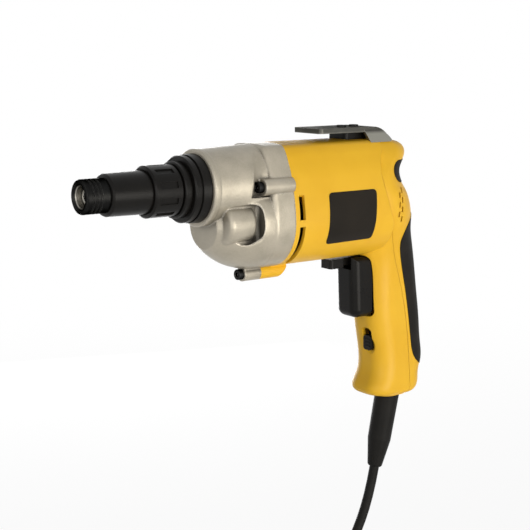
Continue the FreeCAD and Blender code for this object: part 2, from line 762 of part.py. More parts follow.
def make_gear_case():
    lip = [(LIP_FRONT_X, 0), (LIP_FRONT_X, LIP_R - 1.0), (LIP_FRONT_X + 1.0, LIP_R), (0.6, LIP_R)]
    lip += [(1.4, FRONT_BOSS_R), (FLANGE_X + 2.0, FRONT_BOSS_REAR_R), (FLANGE_X + 2.0, 0)]
    spigot = disc(SPIGOT_FRONT_X, 0.0, SPIGOT_R)
    # The valley behind the front boss bares the side screws and fades out at the top
    valley = Part.makeTorus(VALLEY_FLOOR_R + VALLEY_R, VALLEY_R, V(VALLEY_X, 0, VALLEY_RISE), V(1, 0, 0))
    valley = valley.common(block(0.0, PARTING_X, -CUT_REACH, CUT_REACH, VALLEY_LOW_Z, CUT_REACH))
    flange = barrel(FLANGE_X, PARTING_X)
    front = [e for e in end_edges(flange) if e.BoundBox.XMax < FLANGE_X + OVER]
    flange = flange.makeFillet(FLANGE_ROUND, front)
    bulge = disc(DOME_FRONT_X + 3.0, BULGE_END_X, BULGE_R, BULGE_Y, BULGE_Z)
    bulge = bulge.makeFillet(BULGE_ROUND, end_edges(bulge))
    body = turned(lip).fuse(case_dome()).cut(valley).fuse(flange).fuse(spigot)
    body = body.cut(case_groove()).fuse(bulge)
    bosses = []
    for y in (-SIDE_SCREW_Y, SIDE_SCREW_Y):
        boss = disc(SIDE_BOSS_X, PARTING_X, SIDE_BOSS_R, y, SIDE_SCREW_Z)
        bosses.append(boss)
    low = disc(LOW_BOSS_X, LOW_JOINT_X - SEAT_FIT, LOW_BOSS_R, 0.0, LOW_SCREW_Z)
    web = block(LOW_BOSS_X, LOW_JOINT_X - SEAT_FIT, -LOW_WEB_HALF, LOW_WEB_HALF,
                LOW_SCREW_Z, BARREL_LOW_Z + LOW_WEB_RISE)
    body = fused([body] + bosses + [low, web])
    cuts = []
    for y in (-SIDE_SCREW_Y, SIDE_SCREW_Y):
        head_x = SIDE_BOSS_X - CASE_SCREW_HEAD_H - 1.5
        cuts.append(disc(head_x, SIDE_BOSS_X, CASE_SCREW_HEAD_R + SIDE_HEAD_CLEAR, y, SIDE_SCREW_Z))
        cuts.append(disc(SIDE_BOSS_X - OVER, PARTING_X + OVER, CASE_SCREW_R + SCREW_CLEAR, y, SIDE_SCREW_Z))
    cuts.append(disc(LOW_BOSS_X - OVER, LOW_JOINT_X + OVER, CASE_SCREW_R + SCREW_CLEAR, 0.0, LOW_SCREW_Z))
    cuts.append(disc(LOW_BOSS_X - 9.0, LOW_BOSS_X, CASE_SCREW_HEAD_R + LOW_HEAD_CLEAR, 0.0, LOW_SCREW_Z))
    cuts.append(disc(LOW_JOINT_X - SEAT_FIT, PARTING_X + OVER, LOW_BOSS_R + LUG_CLEAR, 0.0, LOW_SCREW_Z))
    cuts.append(disc(SPIGOT_FRONT_X - OVER, BUSH_X, SNOUT_R + SNOUT_CLEAR))
    cuts.append(disc(BUSH_X - 0.5, HUB_END_X + 1.0, BUSH_R))
    cuts.append(ring(BUSH_X + 2.0, HUB_END_X, CLUTCH_ROOM_R, HUB_R))
    cuts.append(disc(HUB_END_X, GEAR_X - 2.2, CLUTCH_ROOM_R))
    cuts.append(disc(GEAR_X - 2.7, PARTING_X + 1.0, GEAR_ROOM_R))
    cuts.append(disc(GEAR_X - 3.2, PARTING_X + 1.0, PINION_ROOM_R, 0.0, MOTOR_Z))
    cuts.append(barrel(PLATE_X - 0.1, PARTING_X + 1.0, -CASE_WALL))
    return body.cut(fused(cuts))


def make_motor_housing():
    barrel_part = barrel(PARTING_X, BARREL_END_X + 6.0).cut(FRONT_CUT)
    body = fused([barrel_part, REAR.cut(FRONT_CUT)])
    lug = disc(LOW_JOINT_X, LOW_LUG_END_X, LOW_BOSS_R, 0.0, LOW_SCREW_Z)
    lug = lug.cut(barrel(LOW_JOINT_X - OVER, PARTING_X, LUG_CLEAR))
    lug_web = block(PARTING_X, LOW_LUG_END_X, -LOW_WEB_HALF, LOW_WEB_HALF, LOW_SCREW_Z, BARREL_LOW_Z + 2.0)
    under_z = LOW_SCREW_Z - LOW_BOSS_R - OVER
    past_x = LOW_LUG_END_X + OVER
    slope = slab([(LOW_LUG_END_X - LUG_SLOPE, under_z), (past_x, BARREL_LOW_Z), (past_x, under_z)], BELLY_R)
    body = fused([body, fused([lug, lug_web]).cut(slope)])
    room = barrel(PARTING_X - 1.0, BARREL_END_X, -BARREL_WALL)
    body = body.cut(fused([room, REAR_ROOM]))
    skin = barrel(PARTING_X, BARREL_END_X + 6.0)
    adds = []
    ledge = barrel(PLATE_END_X + 0.1, PLATE_END_X + LEDGE_THICK, -BARREL_WALL + 0.4)
    adds.append(ledge.cut(barrel(PLATE_END_X - 1.0, PLATE_END_X + 3.0, -CASE_WALL - 2.0)))
    wall = barrel(BULKHEAD_X, BULKHEAD_X + BULKHEAD_THICK, -BARREL_WALL + 0.4)
    cup = disc(BULKHEAD_X, REAR_BEARING_X + REAR_BEARING_WIDTH + 1.0, REAR_BEARING_R + 3.0, 0.0, MOTOR_Z)
    adds.append(wall)
    adds.append(cup)
    for y in (-SIDE_SCREW_Y, SIDE_SCREW_Y):
        boss = disc(PARTING_X, PARTING_X + SIDE_POST_LENGTH, SIDE_POST_R, y, SIDE_SCREW_Z).common(skin)
        adds.append(boss)
    for x, y, z in cover_screw_places():
        foot_x = seam_x(z) - COVER_SCREW_GRIP - 4.0 if z > MOTOR_Z else HANDLE_FRONT_X
        boss = disc(foot_x, seam_x(z) + 6.0, COVER_BOSS_R, y, z)
        adds.append(boss.common(fused([skin, REAR])).cut(FRONT_CUT))
    for y in (-CLAMP_SCREW_Y, CLAMP_SCREW_Y):
        adds.append(disc(HANDLE_FRONT_X, clamp_x() - 0.1, CLAMP_POST_R, y, CLAMP_Z).common(REAR))
    for x in HOOK_SCREWS_X:
        adds.append(post(TOP_Z - HOOK_SCREW_DEPTH - 2.0, TOP_Z - 0.3, HOOK_BOSS_R, x))
    body = fused([body] + adds)
    cuts = []
    cuts.append(disc(BULKHEAD_X - 1.0, REAR_BEARING_X + 20.0, SHAFT_R + 2.0, 0.0, MOTOR_Z))
    cuts.append(disc(REAR_BEARING_X, REAR_BEARING_X + 20.0, REAR_BEARING_R, 0.0, MOTOR_Z))
    for k in range(AIR_HOLES):
        a = 2.0 * math.pi * (k + 0.5) / AIR_HOLES
        y = AIR_HOLE_RING * math.cos(a)
        z = MOTOR_Z + AIR_HOLE_RING * math.sin(a)
        cuts.append(disc(BULKHEAD_X - OVER, BULKHEAD_X + BULKHEAD_THICK + OVER, AIR_HOLE_R, y, z))
    for y in (-SIDE_SCREW_Y, SIDE_SCREW_Y):
        end_x = SIDE_BOSS_X + CASE_SCREW_LENGTH + OVER
        cuts.append(disc(PARTING_X - OVER, end_x, CASE_SCREW_R + THREAD_FIT, y, SIDE_SCREW_Z))
    end_x = LOW_BOSS_X + CASE_SCREW_LENGTH + OVER
    cuts.append(disc(LOW_JOINT_X - OVER, end_x, CASE_SCREW_R + THREAD_FIT, 0.0, LOW_SCREW_Z))
    for x, y, z in cover_screw_places():
        tip = seam_x(z) - COVER_SCREW_GRIP
        cuts.append(disc(tip - OVER, seam_x(z) + 10.0, COVER_SCREW_R + THREAD_FIT, y, z))
    for y in (-CLAMP_SCREW_Y, CLAMP_SCREW_Y):
        tip = clamp_x() - CLAMP_SCREW_DEPTH - OVER
        cuts.append(disc(tip, clamp_x() + OVER, CLAMP_SCREW_R + THREAD_FIT, y, CLAMP_Z))
    for x in HOOK_SCREWS_X:
        cuts.append(post(TOP_Z - HOOK_SCREW_DEPTH - 0.5, TOP_Z + 5.0, HOOK_SCREW_R + THREAD_FIT, x))
    for low, high in VENT_ANGLES:
        vent = sector(VENT_X, VENT_X + VENT_WIDTH, BELLY_R + 6.0, BELLY_R - 6.0, low, high, 0.0, MOTOR_Z)
        cuts += [vent, mirrored(vent)]
    for x, y in TOP_VENTS:
        for side in (-1.0, 1.0):
            cuts.append(block(x, x + TOP_VENT_LENGTH, side * y - TOP_VENT_WIDTH / 2,
                              side * y + TOP_VENT_WIDTH / 2, TOP_Z - 8.0, TOP_Z + 4.0))
    cuts.append(trigger_opening())
    cuts.append(lock_slot())
    cuts.append(plate_pocket())
    cuts.append(relief_hole())
    return body.cut(fused(cuts))


def clamp_x():
    # Front face of the cord clamp, just behind its posts
    along = (CLAMP_Z - RELIEF_Z) / math.cos(RELIEF_LEAN)
    return RELIEF_X + along * math.sin(RELIEF_LEAN) - CORD_D / 2 - CLAMP_THICK + 1.0


def trigger_opening():
    low = TRIGGER_LOW_Z - OPENING_CLEAR
    half = TRIGGER_HALF + OPENING_CLEAR
    body = block(OPENING_FRONT_X, SWITCH_X - 0.2, -half, half, low, OPENING_TOP_Z)
    edges = [e for e in body.Edges if e.BoundBox.XLength > 10.0]
    return body.makeFillet(TRIGGER_ROUND, edges)


def lock_slot():
    half = LOCK_HALF + SLIDE_FIT
    low = LOCK_LOW_Z - SLIDE_FIT
    top = LOCK_LOW_Z + LOCK_HEIGHT + LOCK_TRAVEL + SLIDE_FIT
    body = block(LOCK_FRONT_X - 10.0, LOCK_FLANGE_X - 0.3, LOCK_Y - half, LOCK_Y + half, low, top)
    edges = [e for e in body.Edges if e.BoundBox.XLength > 10.0]
    slot = body.makeFillet(LOCK_SLOT_ROUND, edges)
    scoop = Part.makeSphere(SCOOP_R, V(LOCK_FRONT_X - SCOOP_OUT, LOCK_Y - 2.0, LOCK_LOW_Z + 2.0))
    return slot.fuse(scoop)


def plate_pocket():
    return plate_form(PLATE_SUNK + SEAT_FIT, 3.0, SEAT_FIT)


def plate_form(sunk, proud, grow):
    points = [V(x, -CUT_REACH, z) for x, z in PLATE_CORNERS]
    face = Part.Face(Part.makePolygon(points + points[:1]))
    body = face.extrude(V(0, CUT_REACH, 0))
    edges = [e for e in body.Edges if e.BoundBox.YLength > CUT_REACH / 2]
    body = body.makeFillet(PLATE_ROUND, edges)
    if grow:
        body = body.copy()
        body.scale(1.0 + grow / PLATE_HALF_HEIGHT, V(PLATE_MID_X, -CUT_REACH / 2, PLATE_MID_Z))
    x0 = PLATE_MID_X - PLATE_ZONE
    x1 = PLATE_MID_X + PLATE_ZONE
    shell = barrel(x0, x1, proud).cut(barrel(x0 - OVER, x1 + OVER, -sunk))
    return shell.common(body)


def inlet_slots():
    places = [(INLET_X, INLET_TOP_Z - INLET_STEP_Z * k) for k in range(INLET_COUNT)]
    for k in range(INLET_COUNT + 1):
        places.append((INLET_X + INLET_STEP_X, INLET_TOP_Z - INLET_STEP_Z * (k - 0.5)))
    w = INLET_WIDTH / 2
    h = INLET_HEIGHT / 2
    slots = []
    for x, z in places:
        slot = block(x - w, x + w, -CUT_REACH, -INLET_INNER_Y, z - h, z + h)
        slots += [slot, mirrored(slot)]
    return slots


def make_rear_cover():
    body = REAR.common(BACK).cut(REAR_ROOM)
    adds = []
    for x, y, z in cover_screw_places():
        boss = disc(seam_x(z) - 2.0, x + 4.0, COVER_BOSS_R, y, z)
        adds.append(boss.common(REAR).common(BACK))
    body = fused([body] + adds)
    cuts = []
    for x, y, z in cover_screw_places():
        cuts.append(disc(x - COVER_HEAD_DEPTH, x + 10.0, COVER_SCREW_HEAD_R + COVER_HEAD_CLEAR, y, z))
        cuts.append(disc(seam_x(z) - 5.0, x, COVER_SCREW_R + SCREW_CLEAR, y, z))
    for region in GRIP_POCKET:
        cuts.append(region.cut(GRIP_FLOOR))
    cuts.append(relief_hole())
    cuts += inlet_slots()
    return body.cut(fused(cuts))


def make_grip():
    skin = GRIP_SKIN.cut(GRIP_FLOOR)
    pieces = [skin.common(region).common(BACK) for region in GRIP_REGION]
    return Part.makeCompound([s for p in pieces for s in p.Solids])


def make_name_plate():
    return plate_form(PLATE_SUNK, PLATE_PROUD, 0.0)


def case_screw(x, y, z):
    head = disc(x - CASE_SCREW_HEAD_H, x, CASE_SCREW_HEAD_R, y, z)
    face_x = x - CASE_SCREW_HEAD_H
    head = head.makeFillet(CASE_HEAD_ROUND, [e for e in head.Edges if e.BoundBox.XMax < face_x + 0.01])
    socket = disc(face_x - OVER, face_x + CASE_SOCKET_DEPTH, CASE_SOCKET_R, y, z)
    shank = disc(x, x + CASE_SCREW_LENGTH, CASE_SCREW_R, y, z)
    return head.fuse(shank).cut(socket).removeSplitter()


def make_case_screws():
    places = [(SIDE_BOSS_X, -SIDE_SCREW_Y, SIDE_SCREW_Z), (SIDE_BOSS_X, SIDE_SCREW_Y, SIDE_SCREW_Z)]
    places.append((LOW_BOSS_X, 0.0, LOW_SCREW_Z))
    return Part.makeCompound([case_screw(*p) for p in places])


def make_cover_screws():
    screws = []
    for x, y, z in cover_screw_places():
        seat = x - COVER_HEAD_DEPTH
        head = disc(seat, seat + COVER_SCREW_HEAD_H, COVER_SCREW_HEAD_R, y, z)
        shank = disc(seam_x(z) - COVER_SCREW_GRIP, seat, COVER_SCREW_R, y, z)
        socket = disc(seat + OVER, seat + COVER_SCREW_HEAD_H + OVER, COVER_SOCKET_R, y, z)
        screws.append(head.fuse(shank).cut(socket).removeSplitter())
    return Part.makeCompound(screws)


# Belt hook: stamped strip with its edges turned down, bent down at the back, with side legs
def hook_rim():
    low = HOOK_TOP_Z - HOOK_RIM
    top = HOOK_TOP_Z - HOOK_THICK / 2
    outer = block(HOOK_FRONT_X, HOOK_BEND_X, -HOOK_HALF, HOOK_HALF, low, top)
    corner = [e for e in outer.Edges if e.BoundBox.ZLength > 1.0 and e.BoundBox.XMax < HOOK_FRONT_X + 0.1]
    outer = outer.makeFillet(HOOK_CORNER, corner)
    w = HOOK_RIM_WALL
    inner = block(HOOK_FRONT_X + w, HOOK_BEND_X + 1.0, -HOOK_HALF + w, HOOK_HALF - w, low - 1.0, top + 1.0)
    return outer.cut(inner)


def make_hook():
    t = HOOK_THICK
    half = HOOK_HALF
    a = V(HOOK_FRONT_X, -half, HOOK_TOP_Z)
    b = V(HOOK_BEND_X, -half, HOOK_TOP_Z)
    bend_mid = V(HOOK_BEND_MID_X, -half, HOOK_BEND_MID_Z)
    c = V(HOOK_DROP_X, -half, HOOK_DROP_Z)
    d = V(HOOK_DROP_X - t, -half, HOOK_DROP_Z - 0.3)
    inner_mid = bend_mid + V(-t * 0.6, 0, -t * 0.8)
    e = V(HOOK_BEND_X, -half, HOOK_TOP_Z - t)
    f = V(HOOK_FRONT_X, -half, HOOK_TOP_Z - t)
    edges = [Part.makeLine(a, b), arc3(b, bend_mid, c), Part.makeLine(c, d), arc3(d, inner_mid, e)]
    edges += [Part.makeLine(e, f), Part.makeLine(f, a)]
    strip = Part.Face(Part.Wire(edges)).extrude(V(0, 2.0 * half, 0))
    corner = [e for e in strip.Edges if e.BoundBox.ZLength > 1.0 and e.BoundBox.XMax < HOOK_FRONT_X + 0.1]
    corner = [e for e in corner if e.BoundBox.YLength < 0.1]
    strip = strip.makeFillet(HOOK_CORNER, corner)
    strip = strip.fuse(hook_rim()).removeSplitter()
    # Left leg: a plate under the bend, splayed to follow the shoulder
    hinge_z = HOOK_TOP_Z - t
    low_z = hinge_z - HOOK_LEG_DROP
    inset = t * 0.4
    top = V(HOOK_BEND_X, -half, HOOK_TOP_Z - inset)
    rear = V(HOOK_DROP_X - inset, -half, HOOK_DROP_Z)
    corners = [rear, V(HOOK_LEG_REAR_X, -half, low_z), V(HOOK_LEG_LOW_X, -half, low_z)]
    corners += [V(HOOK_LEG_X, -half, hinge_z), V(HOOK_LEG_X, -half, HOOK_TOP_Z - inset), top]
    sides = [Part.makeLine(p, q) for p, q in zip(corners, corners[1:])]
    sides.append(arc3(top, bend_mid + V(-inset * 0.6, 0, -inset * 0.8), rear))
    leg = Part.Face(Part.Wire(sides)).extrude(V(0, t, 0))
    leg.rotate(V(0, -half, hinge_z), V(1, 0, 0), -HOOK_LEG_SPLAY)
    legs = [leg, mirrored(leg)]
    body = fused([strip] + legs)
    holes = [post(TOP_Z, HOOK_TOP_Z + OVER, HOOK_SCREW_R + HOOK_HOLE_CLEAR, x) for x in HOOK_SCREWS_X]
    body = body.cut(fused(holes))
    return body.cut(barrel(PARTING_X, CUT_BACK_X, SHELL_GAP)).cut(rear_form(SHELL_GAP))


def make_spacer():
    top = HOOK_TOP_Z - HOOK_THICK - SEAT_FIT
    body = block(SPACER_X, SPACER_END_X, -SPACER_HALF, SPACER_HALF, TOP_Z - SPACER_SUNK, top)
    edges = [e for e in body.Edges if e.BoundBox.ZLength > 3.0 and e.BoundBox.XLength < 0.1]
    body = body.makeFillet(SPACER_ROUND, edges)
    holes = [post(TOP_Z - 6.0, HOOK_TOP_Z, HOOK_SCREW_R + HOOK_HOLE_CLEAR, x) for x in HOOK_SCREWS_X]
    body = body.cut(fused(holes))
    return body.cut(barrel(PARTING_X, CUT_BACK_X, SPACER_GAP)).cut(rear_form(SPACER_GAP))


def make_hook_screws():
    screws = []
    for x in HOOK_SCREWS_X:
        head = post(HOOK_TOP_Z, HOOK_TOP_Z + HOOK_SCREW_HEAD_H, HOOK_SCREW_HEAD_R, x)
        rim = [e for e in head.Edges if e.BoundBox.ZMin > HOOK_TOP_Z + HOOK_SCREW_HEAD_H / 2]
        head = head.makeFillet(HOOK_SCREW_HEAD_H / 2, rim)
        socket = post(HOOK_TOP_Z + 0.2, HOOK_TOP_Z + 5.0, HOOK_SOCKET_R, x)
        shank = post(TOP_Z - HOOK_SCREW_DEPTH, HOOK_TOP_Z, HOOK_SCREW_R, x)
        screws.append(head.fuse(shank).cut(socket).removeSplitter())
    return Part.makeCompound(screws)


# Nose
def make_nose_ring():
    mid = (NOSE_RING_FRONT_X + LIP_FRONT_X) / 2 - 1.0
    outline = [(NOSE_RING_FRONT_X, BASE_SPIGOT_R + 0.1), (NOSE_RING_FRONT_X, NOSE_RING_R - 1.4)]
    outline += [(NOSE_RING_FRONT_X + 1.0, NOSE_RING_R - 0.5), (mid - 0.6, NOSE_RING_R - 0.5)]
    outline += [(mid - 0.6, NOSE_RING_R - 1.3), (mid + 0.6, NOSE_RING_R - 1.3), (mid + 0.6, NOSE_RING_R)]
    outline += [(LIP_FRONT_X - SEAT_FIT, NOSE_RING_R + 0.4), (LIP_FRONT_X - SEAT_FIT, SPIGOT_R + SEAT_FIT)]
    inner_x = SPIGOT_FRONT_X - SEAT_FIT
    outline += [(inner_x, SPIGOT_R + SEAT_FIT), (inner_x, BASE_SPIGOT_R + 0.1)]
    groove_x = (NOSE_RING_FRONT_X + SPIGOT_FRONT_X) / 2
    groove = ring(groove_x - O_RING_WIRE * 0.6, groove_x + O_RING_WIRE * 0.6,
                  BASE_SPIGOT_R + O_RING_WIRE + 0.3, BASE_SPIGOT_R - 2.0)
    return turned(outline).cut(groove)


def make_o_ring():
    groove_x = (NOSE_RING_FRONT_X + SPIGOT_FRONT_X) / 2
    mid_r = BASE_SPIGOT_R + 0.15 + O_RING_WIRE / 2
    body = Part.makeTorus(mid_r, O_RING_WIRE / 2, V(groove_x, 0, 0), V(1, 0, 0))
    return body


def make_nose_base():
    spigot_end = SPIGOT_FRONT_X - 0.6
    outline = [(BASE_FRONT_X, BASE_BORE_R), (BASE_FRONT_X - BASE_HUB_LENGTH, BASE_BORE_R)]
    hub_r = SLEEVE_REAR_R + SLIDE_FIT - 0.1
    outline += [(BASE_FRONT_X - BASE_HUB_LENGTH, hub_r), (BASE_FRONT_X, hub_r)]
    outline += [(BASE_FRONT_X, BASE_R - 0.8)]
    outline += [(BASE_FRONT_X + 0.8, BASE_R), (NOSE_RING_FRONT_X - 0.3, BASE_R)]
    outline += [(NOSE_RING_FRONT_X - 0.3, BASE_SPIGOT_R), (spigot_end - 0.8, BASE_SPIGOT_R)]
    outline += [(spigot_end, BASE_SPIGOT_R - 0.8), (spigot_end, BASE_BORE_R)]
    return turned(outline[1:])


def make_depth_collar():
    bore = SLEEVE_REAR_R + SLIDE_FIT
    r = COLLAR_R
    outline = [(COLLAR_FRONT_X, bore), (COLLAR_FRONT_X, r - 1.2), (COLLAR_FRONT_X + 1.2, r)]
    outline += [(COLLAR_REAR_X - 0.8, r), (COLLAR_REAR_X, r - 0.8), (COLLAR_REAR_X, bore)]
    body = turned(outline)
    slots = []
    for k in range(COLLAR_SLOTS):
        w = COLLAR_SLOT_WIDTH / 2
        slot = block(COLLAR_FRONT_X + COLLAR_SLOT_END, COLLAR_REAR_X - COLLAR_SLOT_END, -w, w,
                     r - COLLAR_SLOT_DEPTH, r + 2.0)
        slot.rotate(V(0, 0, 0), V(1, 0, 0), 360.0 * k / COLLAR_SLOTS)
        slots.append(slot)
    return body.cut(fused(slots))


def make_locator_sleeve():
    front = TIP_FRONT_X + TIP_LENGTH
    rear = COLLAR_FRONT_X + SLEEVE_HIDDEN
    seat_r = TIP_SPIGOT_R + SEAT_FIT
    outline = [(front, seat_r), (front, SLEEVE_FRONT_R - 1.6), (front + 0.5, SLEEVE_FRONT_R - 0.6)]
    outline += [(front + 1.6, SLEEVE_FRONT_R), (COLLAR_FRONT_X, SLEEVE_REAR_R), (rear, SLEEVE_REAR_R)]
    outline += [(rear, SLEEVE_BORE_R), (front + TIP_SPIGOT_LENGTH + SEAT_FIT, SLEEVE_BORE_R)]
    outline += [(front + TIP_SPIGOT_LENGTH + SEAT_FIT, seat_r)]
    return turned(outline)


def make_locator_tip():
    front = TIP_FRONT_X
    rear = front + TIP_LENGTH - SEAT_FIT
    end = front + TIP_LENGTH + TIP_SPIGOT_LENGTH
    outline = [(front + TIP_FUNNEL_DEPTH, TIP_BORE_R), (front, TIP_FUNNEL_R), (front, TIP_R - 1.6)]
    outline += [(front + 0.6, TIP_R - 0.5)]
    outline += [(front + 1.8, TIP_R)]
    step = 3.0
    for k in range(TIP_GROOVES):
        x = front + 4.0 + step * k
        outline += [(x, TIP_R), (x + 0.4, TIP_R - TIP_GROOVE_DEPTH)]
        outline += [(x + 1.2, TIP_R - TIP_GROOVE_DEPTH), (x + 1.6, TIP_R)]
    outline += [(rear, TIP_R), (rear, TIP_SPIGOT_R), (end, TIP_SPIGOT_R), (end, TIP_BORE_R)]
    return turned(outline)


# Spindle group
def jaws(x0, x1, turn_deg):
    made = []
    for k in range(JAWS):
        mid = turn_deg + 360.0 * k / JAWS
        made.append(sector(x0, x1, CLUTCH_R - 1.0, JAW_INNER_R, mid - JAW_ARC / 2, mid + JAW_ARC / 2))
    return made


def make_spindle():
    pilot_end = GEAR_END_X + GEAR_HUB_LENGTH - 1.0
    outline = [(SNOUT_FRONT_X, 0), (SNOUT_FRONT_X, SNOUT_R - 0.8), (SNOUT_FRONT_X + 0.8, SNOUT_R)]
    outline += [(-2.0, SNOUT_R), (-2.0, SPINDLE_R), (CLUTCH_X, SPINDLE_R), (CLUTCH_X, CLUTCH_R)]
    outline += [(CLUTCH_BACK_X, CLUTCH_R), (CLUTCH_BACK_X, PILOT_R), (pilot_end, PILOT_R), (pilot_end, 0)]
    body = fused([turned(outline)] + jaws(CLUTCH_BACK_X - 0.5, SPINDLE_JAW_X, 30.0))
    socket = hex_bar(SNOUT_FRONT_X - 1.0, SNOUT_FRONT_X + SHANK_LENGTH + 1.0, HEX_FLATS + 2.0 * SEAT_FIT)
    half = CLIP_WIRE * 0.6
    groove = ring(clip_x() - half, clip_x() + half, SNOUT_R + OVER, clip_floor())
    return body.cut(socket).cut(groove)


def clip_floor():
    return SNOUT_R - CLIP_WIRE * 0.7


def clip_x():
    return SNOUT_FRONT_X + 5.0


def make_clip():
    mid_r = clip_floor() + CLIP_WIRE / 2 + SEAT_FIT
    body = Part.makeTorus(mid_r, CLIP_WIRE / 2, V(clip_x(), 0, 0), V(1, 0, 0))
    gap = block(clip_x() - 2.0, clip_x() + 2.0, -1.5, 1.5, 0.0, SNOUT_R + 3.0)
    return body.cut(gap)


def make_bit_holder():
    front = BIT_HOLDER_FRONT_X
    rear = SNOUT_FRONT_X - SEAT_FIT
    r = BIT_HOLDER_R
    outline = [(front, 0), (front, r - 1.0), (front + 1.0, r), (rear - 6.0, r), (rear - 5.4, r - 0.8)]
    outline += [(rear - 3.6, r - 0.8), (rear - 3.0, r), (rear, r), (rear, 0)]
    shank = hex_bar(rear - 0.5, SNOUT_FRONT_X + SHANK_LENGTH, HEX_FLATS)
    body = fused([turned(outline), shank])
    return body.cut(hex_bar(front - 1.0, front + BIT_SOCKET_DEPTH, HEX_FLATS))


def make_drive_gear():
    bore = PILOT_R + RUN_FIT
    turn = -90.0 + 180.0 / GEAR_TEETH
    wheel = gear(GEAR_TEETH, GEAR_X, GEAR_END_X, turn)
    hub = disc(GEAR_END_X - 0.5, GEAR_END_X + GEAR_HUB_LENGTH, GEAR_HUB_R)
    body = fused([wheel, hub] + jaws(GEAR_X - JAW_HEIGHT, GEAR_X + 0.5, 90.0))
    recess = [ring(GEAR_X - OVER, GEAR_X + WEB_DEPTH, WEB_R, CLUTCH_R)]
    recess += [ring(GEAR_END_X - WEB_DEPTH, GEAR_END_X + OVER, WEB_R, WEB_INNER_R)]
    pocket = disc(GEAR_X - 1.0, GEAR_X + SPRING_POCKET, SPRING_R + SPRING_WIRE)
    return body.cut(fused(recess + [pocket, disc(GEAR_X - 5.0, GEAR_END_X + 20.0, bore)]))


def make_clutch_spring():
    start = CLUTCH_BACK_X + SPRING_WIRE / 2 + 0.05
    length = GEAR_X + SPRING_POCKET - SPRING_WIRE / 2 - 0.05 - start
    return spring(V(start, 0, 0), V(1, 0, 0), SPRING_R, SPRING_WIRE / 2, SPRING_TURNS, length)


def make_bearing_plate():
    body = barrel(PLATE_X, PLATE_END_X, -CASE_WALL - 0.15)
    cuts = [disc(PLATE_X + 0.9, PLATE_END_X + 1.0, FRONT_BEARING_R + SEAT_FIT, 0.0, MOTOR_Z)]
    cuts.append(disc(PLATE_X - 1.0, PLATE_END_X + 1.0, FRONT_BEARING_R - 3.0, 0.0, MOTOR_Z))
    cuts.append(disc(PLATE_X + 0.9, PLATE_X + 0.9 + REAR_BUSH_LENGTH + SEAT_FIT, REAR_BUSH_R + SEAT_FIT))
    cuts.append(disc(PLATE_X - 1.0, PLATE_X + 2.0, GEAR_HUB_R + 1.0))
    cuts.append(disc(PLATE_X - 1.0, PLATE_END_X + 1.0, PILOT_R + 0.8))
    for y in (-SIDE_SCREW_Y, SIDE_SCREW_Y):
        cuts.append(disc(PLATE_X - 1.0, PLATE_END_X + 1.0, CASE_SCREW_R + 3.0, y, SIDE_SCREW_Z))
    return body.cut(fused(cuts))


def bearing(x, width, r, z):
    body = ring(x, x + width, r, SHAFT_R + RUN_FIT, 0.0, z)
    race_in = SHAFT_R + 0.3 * (r - SHAFT_R)
    race_out = SHAFT_R + 0.72 * (r - SHAFT_R)
    grooves = [ring(x - 1.0, x + 0.7, race_out, race_in, 0.0, z)]
    grooves.append(ring(x + width - 0.7, x + width + 1.0, race_out, race_in, 0.0, z))
    return body.cut(fused(grooves))


# Motor pieces
def make_stator():
    outer = BELLY_R - BARREL_WALL - 0.3
    bore = CORE_R + AIR_GAP
    x0 = CORE_X
    x1 = CORE_X + CORE_LENGTH
    yoke = ring(x0, x1, outer, outer - YOKE_THICK, 0.0, MOTOR_Z)
    poles = []
    for mid in (90.0, 270.0):
        low, high = mid - POLE_HALF_ANGLE, mid + POLE_HALF_ANGLE
        poles.append(sector(x0, x1, outer - YOKE_THICK + 0.5, bore, low, high, 0.0, MOTOR_Z))
    return fused([yoke] + poles)


def make_field_coils():
    outer = BELLY_R - BARREL_WALL - 0.3 - YOKE_THICK - 0.1
    inner = CORE_R + AIR_GAP + 0.6
    x0 = CORE_X - COIL_OVERHANG
    x1 = CORE_X + CORE_LENGTH + COIL_OVERHANG
    coils = []
    for mid in (90.0, 270.0):
        body = sector(x0, x1, outer, inner, mid - 86.0, mid + 86.0, 0.0, MOTOR_Z)
        reach = POLE_HALF_ANGLE + 0.6
        low, high = mid - reach, mid + reach
        start, end = CORE_X - FIELD_CLEAR, CORE_X + CORE_LENGTH + FIELD_CLEAR
        pole = sector(start, end, outer + OVER, inner - OVER, low, high, 0.0, MOTOR_Z)
        coils.append(body.cut(pole))
    return Part.makeCompound(coils)


def make_shaft():
    front = GEAR_X - 1.0
    pinion = gear(PINION_TEETH, front, GEAR_END_X + 0.3, 90.0, 0.0, MOTOR_Z)
    shaft = disc(GEAR_END_X + 0.2, REAR_BEARING_X + REAR_BEARING_WIDTH, SHAFT_R, 0.0, MOTOR_Z)
    return fused([pinion, shaft])


def make_core():
    x0 = CORE_X
    x1 = CORE_X + CORE_LENGTH
    body = ring(x0, x1, CORE_R, SHAFT_R + SEAT_FIT, 0.0, MOTOR_Z)
    slots = [core_slot(k, x0 - 1.0, x1 + 1.0, 0.0) for k in range(CORE_SLOTS)]
    return body.cut(fused(slots))


def core_slot(k, x0, x1, inset):
    half = CORE_SLOT_WIDTH / 2 - inset
    low = CORE_R - CORE_SLOT_DEPTH + inset
    slot = block(x0, x1, -half, half, MOTOR_Z + low, MOTOR_Z + CORE_R + (1.0 if not inset else -0.8))
    slot.rotate(V(0, 0, MOTOR_Z), V(1, 0, 0), 360.0 * k / CORE_SLOTS)
    return slot


